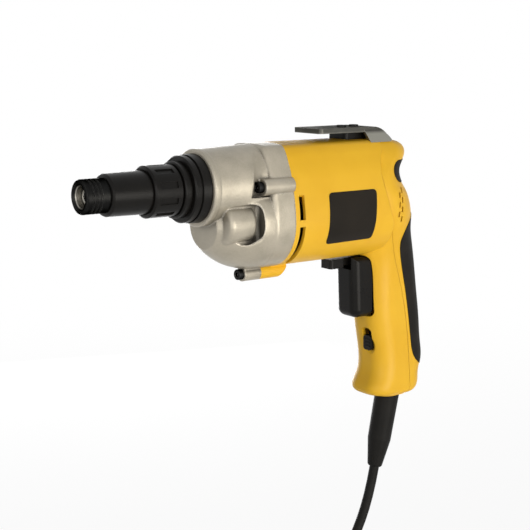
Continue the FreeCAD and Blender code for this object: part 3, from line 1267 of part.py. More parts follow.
def make_windings():
    x0 = CORE_X
    x1 = CORE_X + CORE_LENGTH
    inner = SHAFT_R + 1.6
    ends = []
    for a, b in ((x0 - SEAT_FIT, x0 - WINDING_OVERHANG), (x1 + SEAT_FIT, x1 + WINDING_OVERHANG)):
        outline = [(a, inner), (a, WINDING_R), ((a + 2 * b) / 3, WINDING_R - 0.6)]
        outline += [(b, WINDING_R - 3.5), (b, inner)]
        ends.append(turned(outline, 0.0, MOTOR_Z))
    bars = [core_slot(k, x0 - 1.0, x1 + 1.0, 0.15) for k in range(CORE_SLOTS)]
    return fused(ends + bars)


def make_commutator():
    x0 = COMMUTATOR_X
    x1 = x0 + COMMUTATOR_LENGTH
    riser_r = COMMUTATOR_R + RISER
    outline = [(x0, SHAFT_R + SEAT_FIT), (x0, riser_r), (x0 + RISER_THICK, riser_r)]
    outline += [(x0 + RISER_THICK, COMMUTATOR_R)]
    outline += [(x1, COMMUTATOR_R), (x1, SHAFT_R + SEAT_FIT)]
    body = turned(outline, 0.0, MOTOR_Z)
    gaps = []
    for k in range(COMMUTATOR_BARS):
        floor = MOTOR_Z + COMMUTATOR_R - BAR_GAP_DEPTH
        gap = block(x0 - OVER, x1 + OVER, -BAR_GAP / 2, BAR_GAP / 2, floor, MOTOR_Z + COMMUTATOR_R + 3.0)
        gap.rotate(V(0, 0, MOTOR_Z), V(1, 0, 0), 360.0 * (k + 0.5) / COMMUTATOR_BARS)
        gaps.append(gap)
    return body.cut(fused(gaps))


def make_fan():
    x0 = FAN_X
    x1 = FAN_X + FAN_DEPTH
    plate = disc(x1 - FAN_PLATE, x1, FAN_R, 0.0, MOTOR_Z)
    hub = disc(x0, x1, FAN_HUB_R, 0.0, MOTOR_Z)
    blades = []
    for k in range(FAN_BLADES):
        blade = block(x0 + 1.0, x1 - 0.5, -FAN_BLADE_THICK / 2, FAN_BLADE_THICK / 2, 6.0, FAN_R - 1.0)
        blade.rotate(V(0, 0, FAN_HUB_R), V(1, 0, 0), 28.0)
        blade.translate(V(0, 0, MOTOR_Z))
        blade.rotate(V(0, 0, MOTOR_Z), V(1, 0, 0), 360.0 * k / FAN_BLADES)
        blades.append(blade)
    body = fused([plate, hub] + blades)
    body = body.common(disc(x0 - 1.0, x1 + 1.0, FAN_R, 0.0, MOTOR_Z))
    return body.cut(disc(x0 - 1.0, x1 + 1.0, SHAFT_R + SEAT_FIT, 0.0, MOTOR_Z))


def brush_mid_x():
    return COMMUTATOR_X + 1.5 + (COMMUTATOR_LENGTH - 1.5) / 2


def brush_reach():
    return BELLY_R - BARREL_WALL - 0.5


def make_brush_holders():
    half_x = BRUSH_THICK / 2 + BRUSH_FIT
    half_z = BRUSH_LONG / 2 + BRUSH_FIT
    x = brush_mid_x()
    w = BRUSH_WALL
    inner_y = COMMUTATOR_R + 1.0
    made = []
    for side in (-1.0, 1.0):
        ys = sorted((side * inner_y, side * brush_reach()))
        low, high = MOTOR_Z - half_z, MOTOR_Z + half_z
        tube_box = block(x - half_x - w, x + half_x + w, ys[0], ys[1], low - w, high + w)
        bore = sorted((side * (inner_y - 2.0), side * (brush_reach() - 1.2)))
        made.append(tube_box.cut(block(x - half_x, x + half_x, bore[0], bore[1], low, high)))
    return Part.makeCompound(made)


def make_brushes():
    x = brush_mid_x()
    made = []
    for side in (-1.0, 1.0):
        ys = sorted((side * (COMMUTATOR_R - 0.6), side * (COMMUTATOR_R + BRUSH_LENGTH)))
        t, w = BRUSH_THICK / 2, BRUSH_LONG / 2
        brush = block(x - t, x + t, ys[0], ys[1], MOTOR_Z - w, MOTOR_Z + w)
        made.append(brush.cut(disc(x - 20.0, x + 20.0, COMMUTATOR_R + 0.1, 0.0, MOTOR_Z)))
    return Part.makeCompound(made)


def make_brush_springs():
    made = []
    wire_r = BRUSH_SPRING_WIRE / 2
    for side in (-1.0, 1.0):
        start = COMMUTATOR_R + BRUSH_LENGTH + wire_r + 0.05
        length = brush_reach() - 1.2 - wire_r - 0.05 - start
        foot = V(brush_mid_x(), side * start, MOTOR_Z)
        made.append(spring(foot, V(0, side, 0), BRUSH_SPRING_R, wire_r, BRUSH_SPRING_TURNS, length))
    return Part.makeCompound(made)


# Hand controls
def make_trigger():
    top = TRIGGER_TOP_Z
    low = TRIGGER_LOW_Z
    x0 = TRIGGER_FRONT_X
    x1 = TRIGGER_REAR_X
    h = TRIGGER_HALF
    w = TRIGGER_WALL
    cheek_top = OPENING_TOP_Z - OPENING_CLEAR
    crown = V(x0, -h, cheek_top)
    foot = V(x0 + TRIGGER_FOOT_BACK, -h, low + TRIGGER_FOOT_RISE)
    toe = V(x0 + TRIGGER_FOOT_LENGTH, -h, low)
    ahead = (foot - crown).normalize()
    front = [Part.makeLine(crown, foot), arc_from(foot, ahead, toe)]
    back = [V(x1, -h, low), V(x1, -h, cheek_top)]
    rest = [Part.makeLine(toe, back[0]), Part.makeLine(back[0], back[1]), Part.makeLine(back[1], crown)]
    body = Part.Face(Part.Wire(front + rest)).extrude(V(0, 2.0 * h, 0))
    front_edges = []
    for e in body.Edges:
        box = e.BoundBox
        if box.YLength < 0.01 and box.XMax < toe.x + 0.01 and box.ZLength > 1.0:
            front_edges.append(e)
    body = body.makeFillet(TRIGGER_FRONT_ROUND, front_edges)
    slot = block(x0 - 1.0, x1 + 1.0, -TRIGGER_SLOT_HALF, TRIGGER_SLOT_HALF, top, cheek_top + 1.0)
    room = block(x0 + 6.5, x1 + 1.0, -h + w, h - w, low + w + 1.0, top - w)
    window = block(x0 - 1.0, x1 + 1.0, -h, h, low, cheek_top)
    window = window.makeFillet(TRIGGER_ROUND, [e for e in window.Edges if e.BoundBox.XLength > 5.0])
    plunger = disc(x0 + 5.5, SWITCH_X + 1.5, PLUNGER_R, 0.0, (SWITCH_TOP_Z + SWITCH_LOW_Z) / 2)
    return fused([body.common(window).cut(room).cut(slot), plunger])


def make_switch():
    x1 = SWITCH_X + SWITCH_LENGTH
    mid = (SWITCH_TOP_Z + SWITCH_LOW_Z) / 2
    body = block(SWITCH_X, x1, -SWITCH_HALF, SWITCH_HALF, SWITCH_LOW_Z, SWITCH_TOP_Z)
    body = body.makeFillet(1.2, [e for e in body.Edges if e.BoundBox.XLength > 10.0])
    # Arm over the trigger carries the lever's pivot pin
    arm = block(LEVER_PIVOT_X - 4.0, SWITCH_X + 4.0, -4.0, 4.0, SWITCH_TOP_Z - 0.2, LEVER_LOW_Z - 0.35)
    pin = post(SWITCH_TOP_Z - 0.1, LEVER_TOP_Z, LEVER_PIN_R, LEVER_PIVOT_X)
    body = fused([body, arm, pin])
    bore = disc(SWITCH_X - 1.0, SWITCH_X + 2.0 + TRIGGER_TRAVEL + 0.5, PLUNGER_R + SLIDE_FIT, 0.0, mid)
    foot = []
    for y in (-SWITCH_HALF - 0.9, SWITCH_HALF - 0.1):
        foot.append(block(SWITCH_X + 3.0, x1 - 3.0, y, y + 1.0, SWITCH_LOW_Z + 6.0, SWITCH_TOP_Z - 6.0))
    return fused([body] + foot).cut(bore)


def make_lever():
    paddle_end = LEVER_TIP_X + LEVER_PADDLE
    paddle = block(LEVER_TIP_X, paddle_end, -LEVER_HALF, LEVER_HALF, LEVER_LOW_Z, LEVER_TOP_Z)
    paddle = paddle.makeFillet(2.2, [e for e in paddle.Edges if e.BoundBox.ZLength > 3.0])
    low = LEVER_LOW_Z + 1.2
    stem = block(paddle_end - 2.0, LEVER_PIVOT_X, -LEVER_STEM_HALF, LEVER_STEM_HALF, low, LEVER_TOP_Z)
    hub = post(LEVER_LOW_Z, LEVER_TOP_Z, LEVER_HUB_R, LEVER_PIVOT_X)
    body = fused([paddle, stem, hub])
    notches = []
    for k in range(4):
        x = LEVER_TIP_X + 1.8 + 2.9 * k
        notches.append(block(x, x + 1.2, -20.0, 20.0, LEVER_LOW_Z - 1.0, LEVER_LOW_Z + 0.9))
    pin_hole = post(LEVER_LOW_Z - 1.0, LEVER_TOP_Z + 1.0, LEVER_PIN_R + RUN_FIT, LEVER_PIVOT_X)
    return body.cut(fused(notches + [pin_hole]))


def make_lock_slide():
    top = LOCK_LOW_Z + LOCK_HEIGHT
    body = block(LOCK_FRONT_X, LOCK_FLANGE_X + 0.2, LOCK_Y - LOCK_HALF, LOCK_Y + LOCK_HALF, LOCK_LOW_Z, top)
    body = body.makeFillet(LOCK_ROUND, [e for e in body.Edges if e.BoundBox.XLength > 3.0])
    ribs = []
    for k in range(LOCK_RIBS):
        z = LOCK_LOW_Z + LOCK_RIB_STEP * (k + 1)
        ribs.append(block(LOCK_FRONT_X - 0.7, LOCK_FRONT_X + 0.5, LOCK_Y - LOCK_RIB_HALF,
                          LOCK_Y + LOCK_RIB_HALF, z, z + LOCK_RIB))
    flange = block(LOCK_FLANGE_X, LOCK_FLANGE_X + LOCK_FLANGE, LOCK_Y - LOCK_FLANGE_HALF,
                   LOCK_Y + LOCK_FLANGE_HALF, LOCK_LOW_Z - 1.2, top + 1.2)
    return fused([body, flange] + ribs)


# Cord pieces
def relief_hole():
    start = RELIEF_TOP - RELIEF_DIR * 9.0
    hole = Part.makeCylinder(RELIEF_TOP_R + 0.1, 30.0, start, RELIEF_DIR)
    start = RELIEF_TOP - RELIEF_DIR * (HANDLE_WALL + RELIEF_FLANGE + 0.1)
    groove = Part.makeCylinder(RELIEF_FLANGE_R + 0.1, RELIEF_FLANGE + 0.2, start, RELIEF_DIR)
    return hole.fuse(groove)


def make_relief():
    neck = HANDLE_WALL + RELIEF_FLANGE
    stub_r = CORD_D / 2
    stub_x = -neck - CORD_STUB
    flange_x = -neck + RELIEF_FLANGE
    outline = [(stub_x, 0), (stub_x, stub_r), (-neck, stub_r), (-neck, RELIEF_FLANGE_R)]
    outline += [(flange_x, RELIEF_FLANGE_R), (flange_x, RELIEF_TOP_R), (0, RELIEF_TOP_R)]
    outline += [(RELIEF_MID, RELIEF_MID_R), (RELIEF_LENGTH - 1.0, RELIEF_END_R)]
    outline += [(RELIEF_LENGTH, RELIEF_END_R - 0.8), (RELIEF_LENGTH, 0)]
    points = [V(r, 0, -s) for s, r in outline]
    body = Part.Face(Part.makePolygon(points + points[:1])).revolve(V(0, 0, 0), V(0, 0, 1), 360)
    body.rotate(V(0, 0, 0), V(0, 1, 0), math.degrees(RELIEF_LEAN))
    body.translate(RELIEF_TOP)
    return body


def coil_station(angle, middle):
    # One point of the coil and its direction; the spiral turns back at the middle angle
    away = (angle - middle) / (2.0 * math.pi)
    r = COIL_MID_R + COIL_STEP * (abs(away) - COIL_TURNS / 4.0)
    layer = max(-1.0, min(1.0, (angle - middle) / (math.pi / 2.0)))
    y = layer * COIL_STEP / 2.0
    slope = math.copysign(COIL_STEP / (2.0 * math.pi), away)
    place = V(COIL_X + r * math.cos(angle), y, COIL_Z + r * math.sin(angle))
    c, d = math.cos(angle), math.sin(angle)
    heading = V(slope * c - r * d, 0, slope * d + r * c)
    heading.normalize()
    return place, heading


def coil_stations():
    turn = 2.0 * math.pi
    first = COIL_START
    last = COIL_START + COIL_TURNS * turn + (math.pi - COIL_START)
    middle = (first + last) / 2.0
    angles = [first]
    a = middle - math.pi / 2 - math.pi * (COIL_TURNS - 1)
    while a < last - 0.05:
        if a > first + 0.05:
            angles.append(a)
        a += math.pi
    stations = [coil_station(a, middle) for a in angles]
    end = coil_station(last, middle)[0]
    return stations + [(end, V(0, 0, -1))]


def cord_route():
    # Straight out of the relief, then round to the start of the coil
    start, heading = coil_stations()[0]
    first = RELIEF_TOP + RELIEF_DIR * RELIEF_LENGTH
    end = start - heading * CORD_D
    return [first, first + RELIEF_DIR * CORD_RUN, end - heading * CORD_RUN, end]


def cord_volume(length):
    return length * math.pi * CORD_D ** 2 / 4


def make_cord():
    points = cord_route()
    edges = []
    at = points[0]
    for before, corner, after in zip(points, points[1:], points[2:]):
        u = (corner - before).normalize()
        w = (after - corner).normalize()
        turn = u.getAngle(w)
        run = min((corner - before).Length, (after - corner).Length)
        cut = 0.45 * run
        print("cord arc radius %.1f" % (cut / math.tan(turn / 2.0)))
        a = corner - u * cut
        b = corner + w * cut
        bisect = (w - u).normalize()
        radius = cut / math.tan(turn / 2.0)
        centre = corner + bisect * math.hypot(radius, cut)
        edges.append(Part.makeLine(at, a))
        edges.append(arc3(a, centre - bisect * radius, b))
        at = b
    edges.append(Part.makeLine(at, points[-1]))
    body = tube(edges, CORD_D / 2)
    length = sum(e.Length for e in edges)
    print("cord length %.1f, volume ratio %.4f" % (length, body.Volume / cord_volume(length)))
    return body


def make_coil():
    stations = coil_stations()
    start, heading = stations[0]
    edges = [Part.makeLine(start - heading * CORD_D, start)]
    for (p, t), (q, u) in zip(stations, stations[1:]):
        edges += biarc(p, t, q, u)
    end = stations[-1][0]
    edges.append(Part.makeLine(end, end + V(0, 0, -COIL_TAIL)))
    least_gap(edges)
    body = tube(edges, CORD_D / 2)
    length = sum(e.Length for e in edges)
    print("coil length %.1f, volume ratio %.4f" % (length, body.Volume / cord_volume(length)))
    return body


def least_gap(edges):
    points = []
    run = 0.0
    for e in edges:
        count = max(2, int(e.Length / 4.0))
        pts = e.discretize(count + 1)
        if points and pts[0].distanceToPoint(points[-1][1]) > 1e-3:
            pts = pts[::-1]
        for a, b in zip(pts, pts[1:]):
            points.append((run, a))
            run += a.distanceToPoint(b)
            last = b
        points.append((run, last))
    best = 1e9
    for i, (s, p) in enumerate(points):
        for t, q in points[i + 1:]:
            if t - s > 8.0 * CORD_D:
                best = min(best, p.distanceToPoint(q))
    print("coil least gap to itself %.2f" % (best - CORD_D))


def make_tie():
    # Strap round all turns at the top of the coil
    inner = COIL_MID_R - COIL_STEP * COIL_TURNS / 4.0 - CORD_D / 2 - 0.4
    outer = COIL_MID_R + COIL_STEP * COIL_TURNS / 4.0 + CORD_D / 2 + 0.4
    half = COIL_STEP / 2 + CORD_D / 2 + 0.4
    x0 = COIL_X - TIE_WIDTH / 2
    x1 = COIL_X + TIE_WIDTH / 2
    t = TIE_THICK
    band = block(x0, x1, -half - t, half + t, COIL_Z + inner - t, COIL_Z + outer + t)
    band = band.makeFillet(2.5, [e for e in band.Edges if e.BoundBox.XLength > 5.0])
    return band.cut(block(x0 - 1.0, x1 + 1.0, -half, half, COIL_Z + inner, COIL_Z + outer))


def plug_top():
    place = coil_stations()[-1][0]
    return V(place.x, place.y, place.z - COIL_TAIL)


def oval(z, half_x, half_y, place):
    # Flat sided oval about a vertical line
    r = half_y
    flat = half_x - r
    x = place.x
    y = place.y
    edges = [
        Part.makeLine(V(x - flat, y - r, z), V(x + flat, y - r, z)),
        arc3(V(x + flat, y - r, z), V(x + half_x, y, z), V(x + flat, y + r, z)),
        Part.makeLine(V(x + flat, y + r, z), V(x - flat, y + r, z)),
        arc3(V(x - flat, y + r, z), V(x - half_x, y, z), V(x - flat, y - r, z)),
    ]
    return Part.Wire(edges)


def make_plug():
    place = plug_top()
    z = place.z
    steps = ((0.0, PLUG_NECK_R + 1.0, PLUG_NECK_R), (8.0, PLUG_NECK_R + 1.8, PLUG_NECK_R + 0.8))
    steps += ((20.0, PLUG_HALF_LONG - 4.0, PLUG_HALF_SHORT - 1.0), (28.0, PLUG_HALF_LONG, PLUG_HALF_SHORT))
    steps += ((PLUG_LENGTH, PLUG_HALF_LONG, PLUG_HALF_SHORT),)
    wires = [oval(z - s, a, b, place) for s, a, b in steps]
    return Part.makeLoft(wires, True, True)


def make_pins():
    place = plug_top()
    face_z = place.z - PLUG_LENGTH
    pins = []
    for side in (-1.0, 1.0):
        x = place.x + side * PIN_SPACING / 2
        pin = Part.makeCylinder(PIN_R, PIN_LENGTH, V(x, place.y, face_z), V(0, 0, -1))
        end = [e for e in pin.Edges if e.BoundBox.ZMax < face_z - PIN_LENGTH + 0.1]
        pins.append(pin.makeFillet(1.2, end))
    return Part.makeCompound(pins)


def make_clamp():
    x0 = clamp_x()
    low, high = CLAMP_Z - CLAMP_HEIGHT / 2, CLAMP_Z + CLAMP_HEIGHT / 2
    body = block(x0, x0 + CLAMP_THICK, -CLAMP_HALF, CLAMP_HALF, low, high)
    cuts = [Part.makeCylinder(CORD_D / 2 + 0.1, 60.0, RELIEF_TOP + RELIEF_DIR * 10.0, RELIEF_DIR * -1.0)]
    for y in (-CLAMP_SCREW_Y, CLAMP_SCREW_Y):
        cuts.append(disc(x0 - 1.0, x0 + 10.0, CLAMP_SCREW_R + 0.1, y, CLAMP_Z))
    return body.cut(fused(cuts))


def make_clamp_screws():
    screws = []
    seat = clamp_x() + CLAMP_THICK
    for y in (-CLAMP_SCREW_Y, CLAMP_SCREW_Y):
        head = disc(seat, seat + CLAMP_HEAD_H, CLAMP_HEAD_R, y, CLAMP_Z)
        shank = disc(clamp_x() - CLAMP_SCREW_DEPTH, seat, CLAMP_SCREW_R, y, CLAMP_Z)
        screws.append(head.fuse(shank).removeSplitter())
    return Part.makeCompound(screws)


def build():
    PARTS["gear_case"] = make_gear_case()
    PARTS["motor_housing"] = make_motor_housing()
    PARTS["rear_cover"] = make_rear_cover()
    PARTS["grip_overmold"] = make_grip()
    PARTS["name_plate"] = make_name_plate()
    PARTS["gear_case_screws"] = make_case_screws()
    PARTS["rear_cover_screws"] = make_cover_screws()
    PARTS["belt_hook"] = make_hook()
    PARTS["hook_spacer"] = make_spacer()
    PARTS["hook_screws"] = make_hook_screws()
    PARTS["nose_ring"] = make_nose_ring()
    PARTS["nose_o_ring"] = make_o_ring()
    PARTS["nose_base"] = make_nose_base()
    PARTS["depth_collar"] = make_depth_collar()
    PARTS["locator_sleeve"] = make_locator_sleeve()
    PARTS["locator_tip"] = make_locator_tip()
    PARTS["spindle_bush"] = ring(BUSH_X, BUSH_X + BUSH_LENGTH, BUSH_R - SEAT_FIT, SPINDLE_R + RUN_FIT)
    PARTS["output_spindle"] = make_spindle()
    PARTS["bit_holder"] = make_bit_holder()
    PARTS["holder_clip"] = make_clip()
    washer_x = HUB_END_X + SLIDE_FIT
    PARTS["thrust_washer"] = ring(washer_x, washer_x + WASHER_THICK, WASHER_R, SPINDLE_R + 0.1)
    PARTS["clutch_spring"] = make_clutch_spring()
    PARTS["drive_gear"] = make_drive_gear()
    bush_x = PLATE_X + 0.9
    PARTS["gear_bush"] = ring(bush_x, bush_x + REAR_BUSH_LENGTH, REAR_BUSH_R, GEAR_HUB_R + RUN_FIT)
    PARTS["bearing_plate"] = make_bearing_plate()
    PARTS["front_bearing"] = bearing(PLATE_X + 0.9, FRONT_BEARING_WIDTH, FRONT_BEARING_R, MOTOR_Z)
    PARTS["rear_bearing"] = bearing(REAR_BEARING_X, REAR_BEARING_WIDTH, REAR_BEARING_R - SEAT_FIT, MOTOR_Z)
    PARTS["field_stator"] = make_stator()
    PARTS["field_coils"] = make_field_coils()
    PARTS["armature_shaft"] = make_shaft()
    PARTS["armature_core"] = make_core()
    PARTS["armature_windings"] = make_windings()
    PARTS["commutator"] = make_commutator()
    PARTS["cooling_fan"] = make_fan()
    PARTS["brush_holders"] = make_brush_holders()
    PARTS["carbon_brushes"] = make_brushes()
    PARTS["brush_springs"] = make_brush_springs()
    PARTS["switch_body"] = make_switch()
    PARTS["trigger"] = make_trigger()
    PARTS["reverse_lever"] = make_lever()
    PARTS["lock_slide"] = make_lock_slide()
    PARTS["strain_relief"] = make_relief()
    PARTS["cord_clamp"] = make_clamp()
    PARTS["cord_clamp_screws"] = make_clamp_screws()
    PARTS["cord"] = make_cord()
    PARTS["cord_coil"] = make_coil()
    PARTS["coil_tie"] = make_tie()
    PARTS["plug_body"] = make_plug()
    PARTS["plug_pins"] = make_pins()


build()
os.makedirs("parts", exist_ok=True)
for name, shape in PARTS.items():
    shape = shape.copy()
    shape.translate(V(-GRIP_X, 0, -GRIP_Z))
    shape.exportStep("parts/%s.step" % name)
    print("%-20s solids %d valid %s volume %.0f" % (name, len(shape.Solids), shape.isValid(), shape.Volume))
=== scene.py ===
import math

import bpy
from mathutils import Matrix, Vector


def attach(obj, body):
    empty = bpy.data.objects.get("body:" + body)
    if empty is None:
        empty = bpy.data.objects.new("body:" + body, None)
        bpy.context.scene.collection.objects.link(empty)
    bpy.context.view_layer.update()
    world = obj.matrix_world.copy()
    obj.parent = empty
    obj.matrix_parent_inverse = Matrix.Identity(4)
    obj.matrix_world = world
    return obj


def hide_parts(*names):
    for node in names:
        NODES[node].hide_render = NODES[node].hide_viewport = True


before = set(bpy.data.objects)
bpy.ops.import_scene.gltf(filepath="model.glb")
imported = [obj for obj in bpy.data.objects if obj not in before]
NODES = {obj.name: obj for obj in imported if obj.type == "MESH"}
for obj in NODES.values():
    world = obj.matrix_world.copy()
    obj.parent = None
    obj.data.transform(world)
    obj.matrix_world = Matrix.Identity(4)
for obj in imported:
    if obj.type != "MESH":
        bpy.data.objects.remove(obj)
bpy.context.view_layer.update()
SCENE = bpy.context.scene
SCENE.view_settings.view_transform = "Standard"

# Camera: the place and the turn that put the tool's axis, barrel and handle on their pixels
CAM_PLACE = Vector((-0.6287, -0.6765, 0.1901))
CAM_RIGHT = Vector((0.79864, -0.60182, 0.0))
CAM_BACK = Vector((-0.59268, -0.78650, 0.17365))
PHOTO_WIDTH = 530.0
FOCAL_PIXELS = 1200.0
SENSOR_WIDTH = 36.0
NEAREST = 0.01
FARTHEST = 50.0


def set_photo_camera():
    up = CAM_BACK.cross(CAM_RIGHT)
    lens = bpy.data.cameras.new("photo_camera")
    lens.sensor_width = SENSOR_WIDTH
    lens.lens = SENSOR_WIDTH * FOCAL_PIXELS / PHOTO_WIDTH
    lens.clip_start = NEAREST
    lens.clip_end = FARTHEST
    camera = bpy.data.objects.new("photo_camera", lens)
    SCENE.collection.objects.link(camera)
    turn = Matrix((CAM_RIGHT, up, CAM_BACK)).transposed()
    camera.matrix_world = Matrix.Translation(CAM_PLACE) @ turn.to_4x4()
    SCENE.camera = camera


set_photo_camera()

# Cord: out of the relief, round to the coil, eight turns in two layers, then down to the plug
CORD_D = 0.0076
CORD_RUN = 0.026
RELIEF_LEAN = math.radians(11.8)
RELIEF_TOP = Vector((0.0024, 0.0, -0.074))
RELIEF_DIR = Vector((-math.sin(RELIEF_LEAN), 0.0, -math.cos(RELIEF_LEAN)))
RELIEF_LENGTH = 0.060
COIL_CENTRE = Vector((-0.014, 0.0, -0.258))
COIL_MID_R = 0.0456
COIL_TURNS = 8
COIL_STEP = 0.0083
COIL_START = math.radians(135.0)
COIL_TAIL = 0.046
COIL_POINTS_PER_TURN = 24
CORD_FACETS = 5
CORD_STEPS = 4
CORD_ORDER = 3
FULL_TURN = 2.0 * math.pi
QUARTER_TURN = math.pi / 2.0
SMALL_TURN = 0.01


def coil_point(angle, middle):
    # The first layer winds inwards, the second outwards again, and the cord changes over in the middle
    away = (angle - middle) / FULL_TURN
    r = COIL_MID_R + COIL_STEP * (abs(away) - COIL_TURNS / 4.0)
    layer = max(-1.0, min(1.0, (angle - middle) / QUARTER_TURN))
    return COIL_CENTRE + Vector((r * math.cos(angle), layer * COIL_STEP / 2.0, r * math.sin(angle)))


def cord_points():
    last = COIL_TURNS * FULL_TURN + math.pi
    sweep = last - COIL_START
    middle = COIL_START + sweep / 2.0
    start = coil_point(COIL_START, middle)
    heading = (coil_point(COIL_START + SMALL_TURN, middle) - start).normalized()
    exit_at = RELIEF_TOP + RELIEF_DIR * RELIEF_LENGTH
    points = [exit_at, exit_at + RELIEF_DIR * CORD_RUN, start - heading * (CORD_D + CORD_RUN)]
    count = int(sweep / FULL_TURN * COIL_POINTS_PER_TURN)
    points += [coil_point(COIL_START + sweep * i / count, middle) for i in range(count + 1)]
    end = points[-1]
    down = Vector((0.0, 0.0, -COIL_TAIL))
    points += [end + down / 2.0, end + down]
    return points


def make_cord():
    points = cord_points()
    curve = bpy.data.curves.new("mains_cord", "CURVE")
    curve.dimensions = "3D"
    # The radius at each knot is the cord's own
    curve.bevel_depth = 1.0
    curve.bevel_resolution = CORD_FACETS
    curve.resolution_u = CORD_STEPS
    curve.use_fill_caps = True
    spline = curve.splines.new("NURBS")
    spline.points.add(len(points) - 1)
    for knot, place in zip(spline.points, points):
        knot.co = (place.x, place.y, place.z, 1.0)
        knot.radius = CORD_D / 2.0
    spline.order_u = CORD_ORDER
    spline.use_endpoint_u = True
    cord = bpy.data.objects.new("mains_cord", curve)
    SCENE.collection.objects.link(cord)
    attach(cord, "housing")
    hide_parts("cord", "cord_coil")
    return cord, points[0]


# Tie: a strap wound once round the coil's top, its end lapped over its start
TIE_WIDTH = 0.010
TIE_THICK = 0.0015
TIE_SLACK = 0.0004
TIE_LAP = 0.017
TIE_LAP_GAP = 0.0001
TIE_RISE = 0.006
TIE_STEP = 0.0008
TIE_EDGE = 0.00045
SHARP_FROM = math.radians(50.0)


def toward(angle):
    return Vector((math.cos(angle), math.sin(angle)))


def tie_loop(s, half_y, low, high, corner):
    # Place and outward direction at distance s along a rounded rectangle,
    # which starts in the middle of its near side and goes down
    flat_z = (high - low) - 2.0 * corner
    flat_y = 2.0 * (half_y - corner)
    bend = (corner * QUARTER_TURN, True)
    half_side = (flat_z / 2.0, False)
    runs = [half_side, bend, (flat_y, False), bend, (flat_z, False), bend, (flat_y, False), bend, half_side]
    s = s % sum(length for length, turns in runs)
    place = Vector((-half_y, (low + high) / 2.0))
    heading = -QUARTER_TURN
    for length, turns in runs:
        part = min(s, length)
        if turns:
            hub = place + toward(heading + QUARTER_TURN) * corner
            heading += part / corner
            place = hub + toward(heading - QUARTER_TURN) * corner
        else:
            place = place + toward(heading) * part
        s -= part
        if s <= 0.0:
            break
    return place, toward(heading - QUARTER_TURN)


def make_tie():
    reach = COIL_STEP * COIL_TURNS / 4.0 + CORD_D / 2.0 + TIE_SLACK
    half_y = COIL_STEP / 2.0 + CORD_D / 2.0 + TIE_SLACK + TIE_THICK / 2.0
    low = COIL_MID_R - reach - TIE_THICK / 2.0
    high = COIL_MID_R + reach + TIE_THICK / 2.0
    corner = CORD_D / 2.0 + TIE_SLACK + TIE_THICK / 2.0
    # A rounded corner is shorter than a square one, by two radii less a quarter turn
    around = 2.0 * (high - low + 2.0 * half_y) - 4.0 * (2.0 - QUARTER_TURN) * corner
    w = TIE_WIDTH / 2.0
    t = TIE_THICK / 2.0
    edge = TIE_EDGE
    section = [(-w + edge, -t), (w - edge, -t), (w, -t + edge), (w, t - edge)]
    section += [(-across, -thick) for across, thick in section]
    count = int((around + TIE_LAP) / TIE_STEP)
    corners = []
    for i in range(count + 1):
        s = (around + TIE_LAP) * i / count
        place, out = tie_loop(s, half_y, low, high, corner)
        lift = max(0.0, min(1.0, (s - around + TIE_RISE) / TIE_RISE))
        lift = lift * lift * (3.0 - 2.0 * lift) * (TIE_THICK + TIE_LAP_GAP)
        for across, thick in section:
            at = place + out * (lift + thick)
            corners.append(COIL_CENTRE + Vector((across, at.x, at.y)))
    n = len(section)
    faces = [(i * n + j, i * n + (j + 1) % n, (i + 1) * n + (j + 1) % n, (i + 1) * n + j)
             for i in range(count) for j in range(n)]
    faces += [tuple(range(n - 1, -1, -1)), tuple(range(count * n, count * n + n))]
    mesh = bpy.data.meshes.new("tie_strap")
    mesh.from_pydata(corners, [], faces)
    mesh.shade_smooth()
    mesh.set_sharp_from_angle(angle=SHARP_FROM)
    strap = bpy.data.objects.new("tie_strap", mesh)
    SCENE.collection.objects.link(strap)
    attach(strap, "housing")
    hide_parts("coil_tie")
    return strap


CORD, CORD_EXIT = make_cord()
STRAP = make_tie()


# Sockets of the mix node that carry colours
MIX_FACTOR = 0
MIX_FIRST = 6
MIX_SECOND = 7
MIX_RESULT = 2


# Shader maths: a wire is one output of a node, and sums and products of wires add Math nodes
class Wire:
    def __init__(self, tree, socket):
        self.tree = tree
        self.socket = socket

    def __add__(self, other):
        return self.tree.maths("ADD", self, other)

    def __radd__(self, other):
        return self.tree.maths("ADD", other, self)

    def __sub__(self, other):
        return self.tree.maths("SUBTRACT", self, other)

    def __rsub__(self, other):
        return self.tree.maths("SUBTRACT", other, self)

    def __mul__(self, other):
        return self.tree.maths("MULTIPLY", self, other)

    def __rmul__(self, other):
        return self.tree.maths("MULTIPLY", other, self)


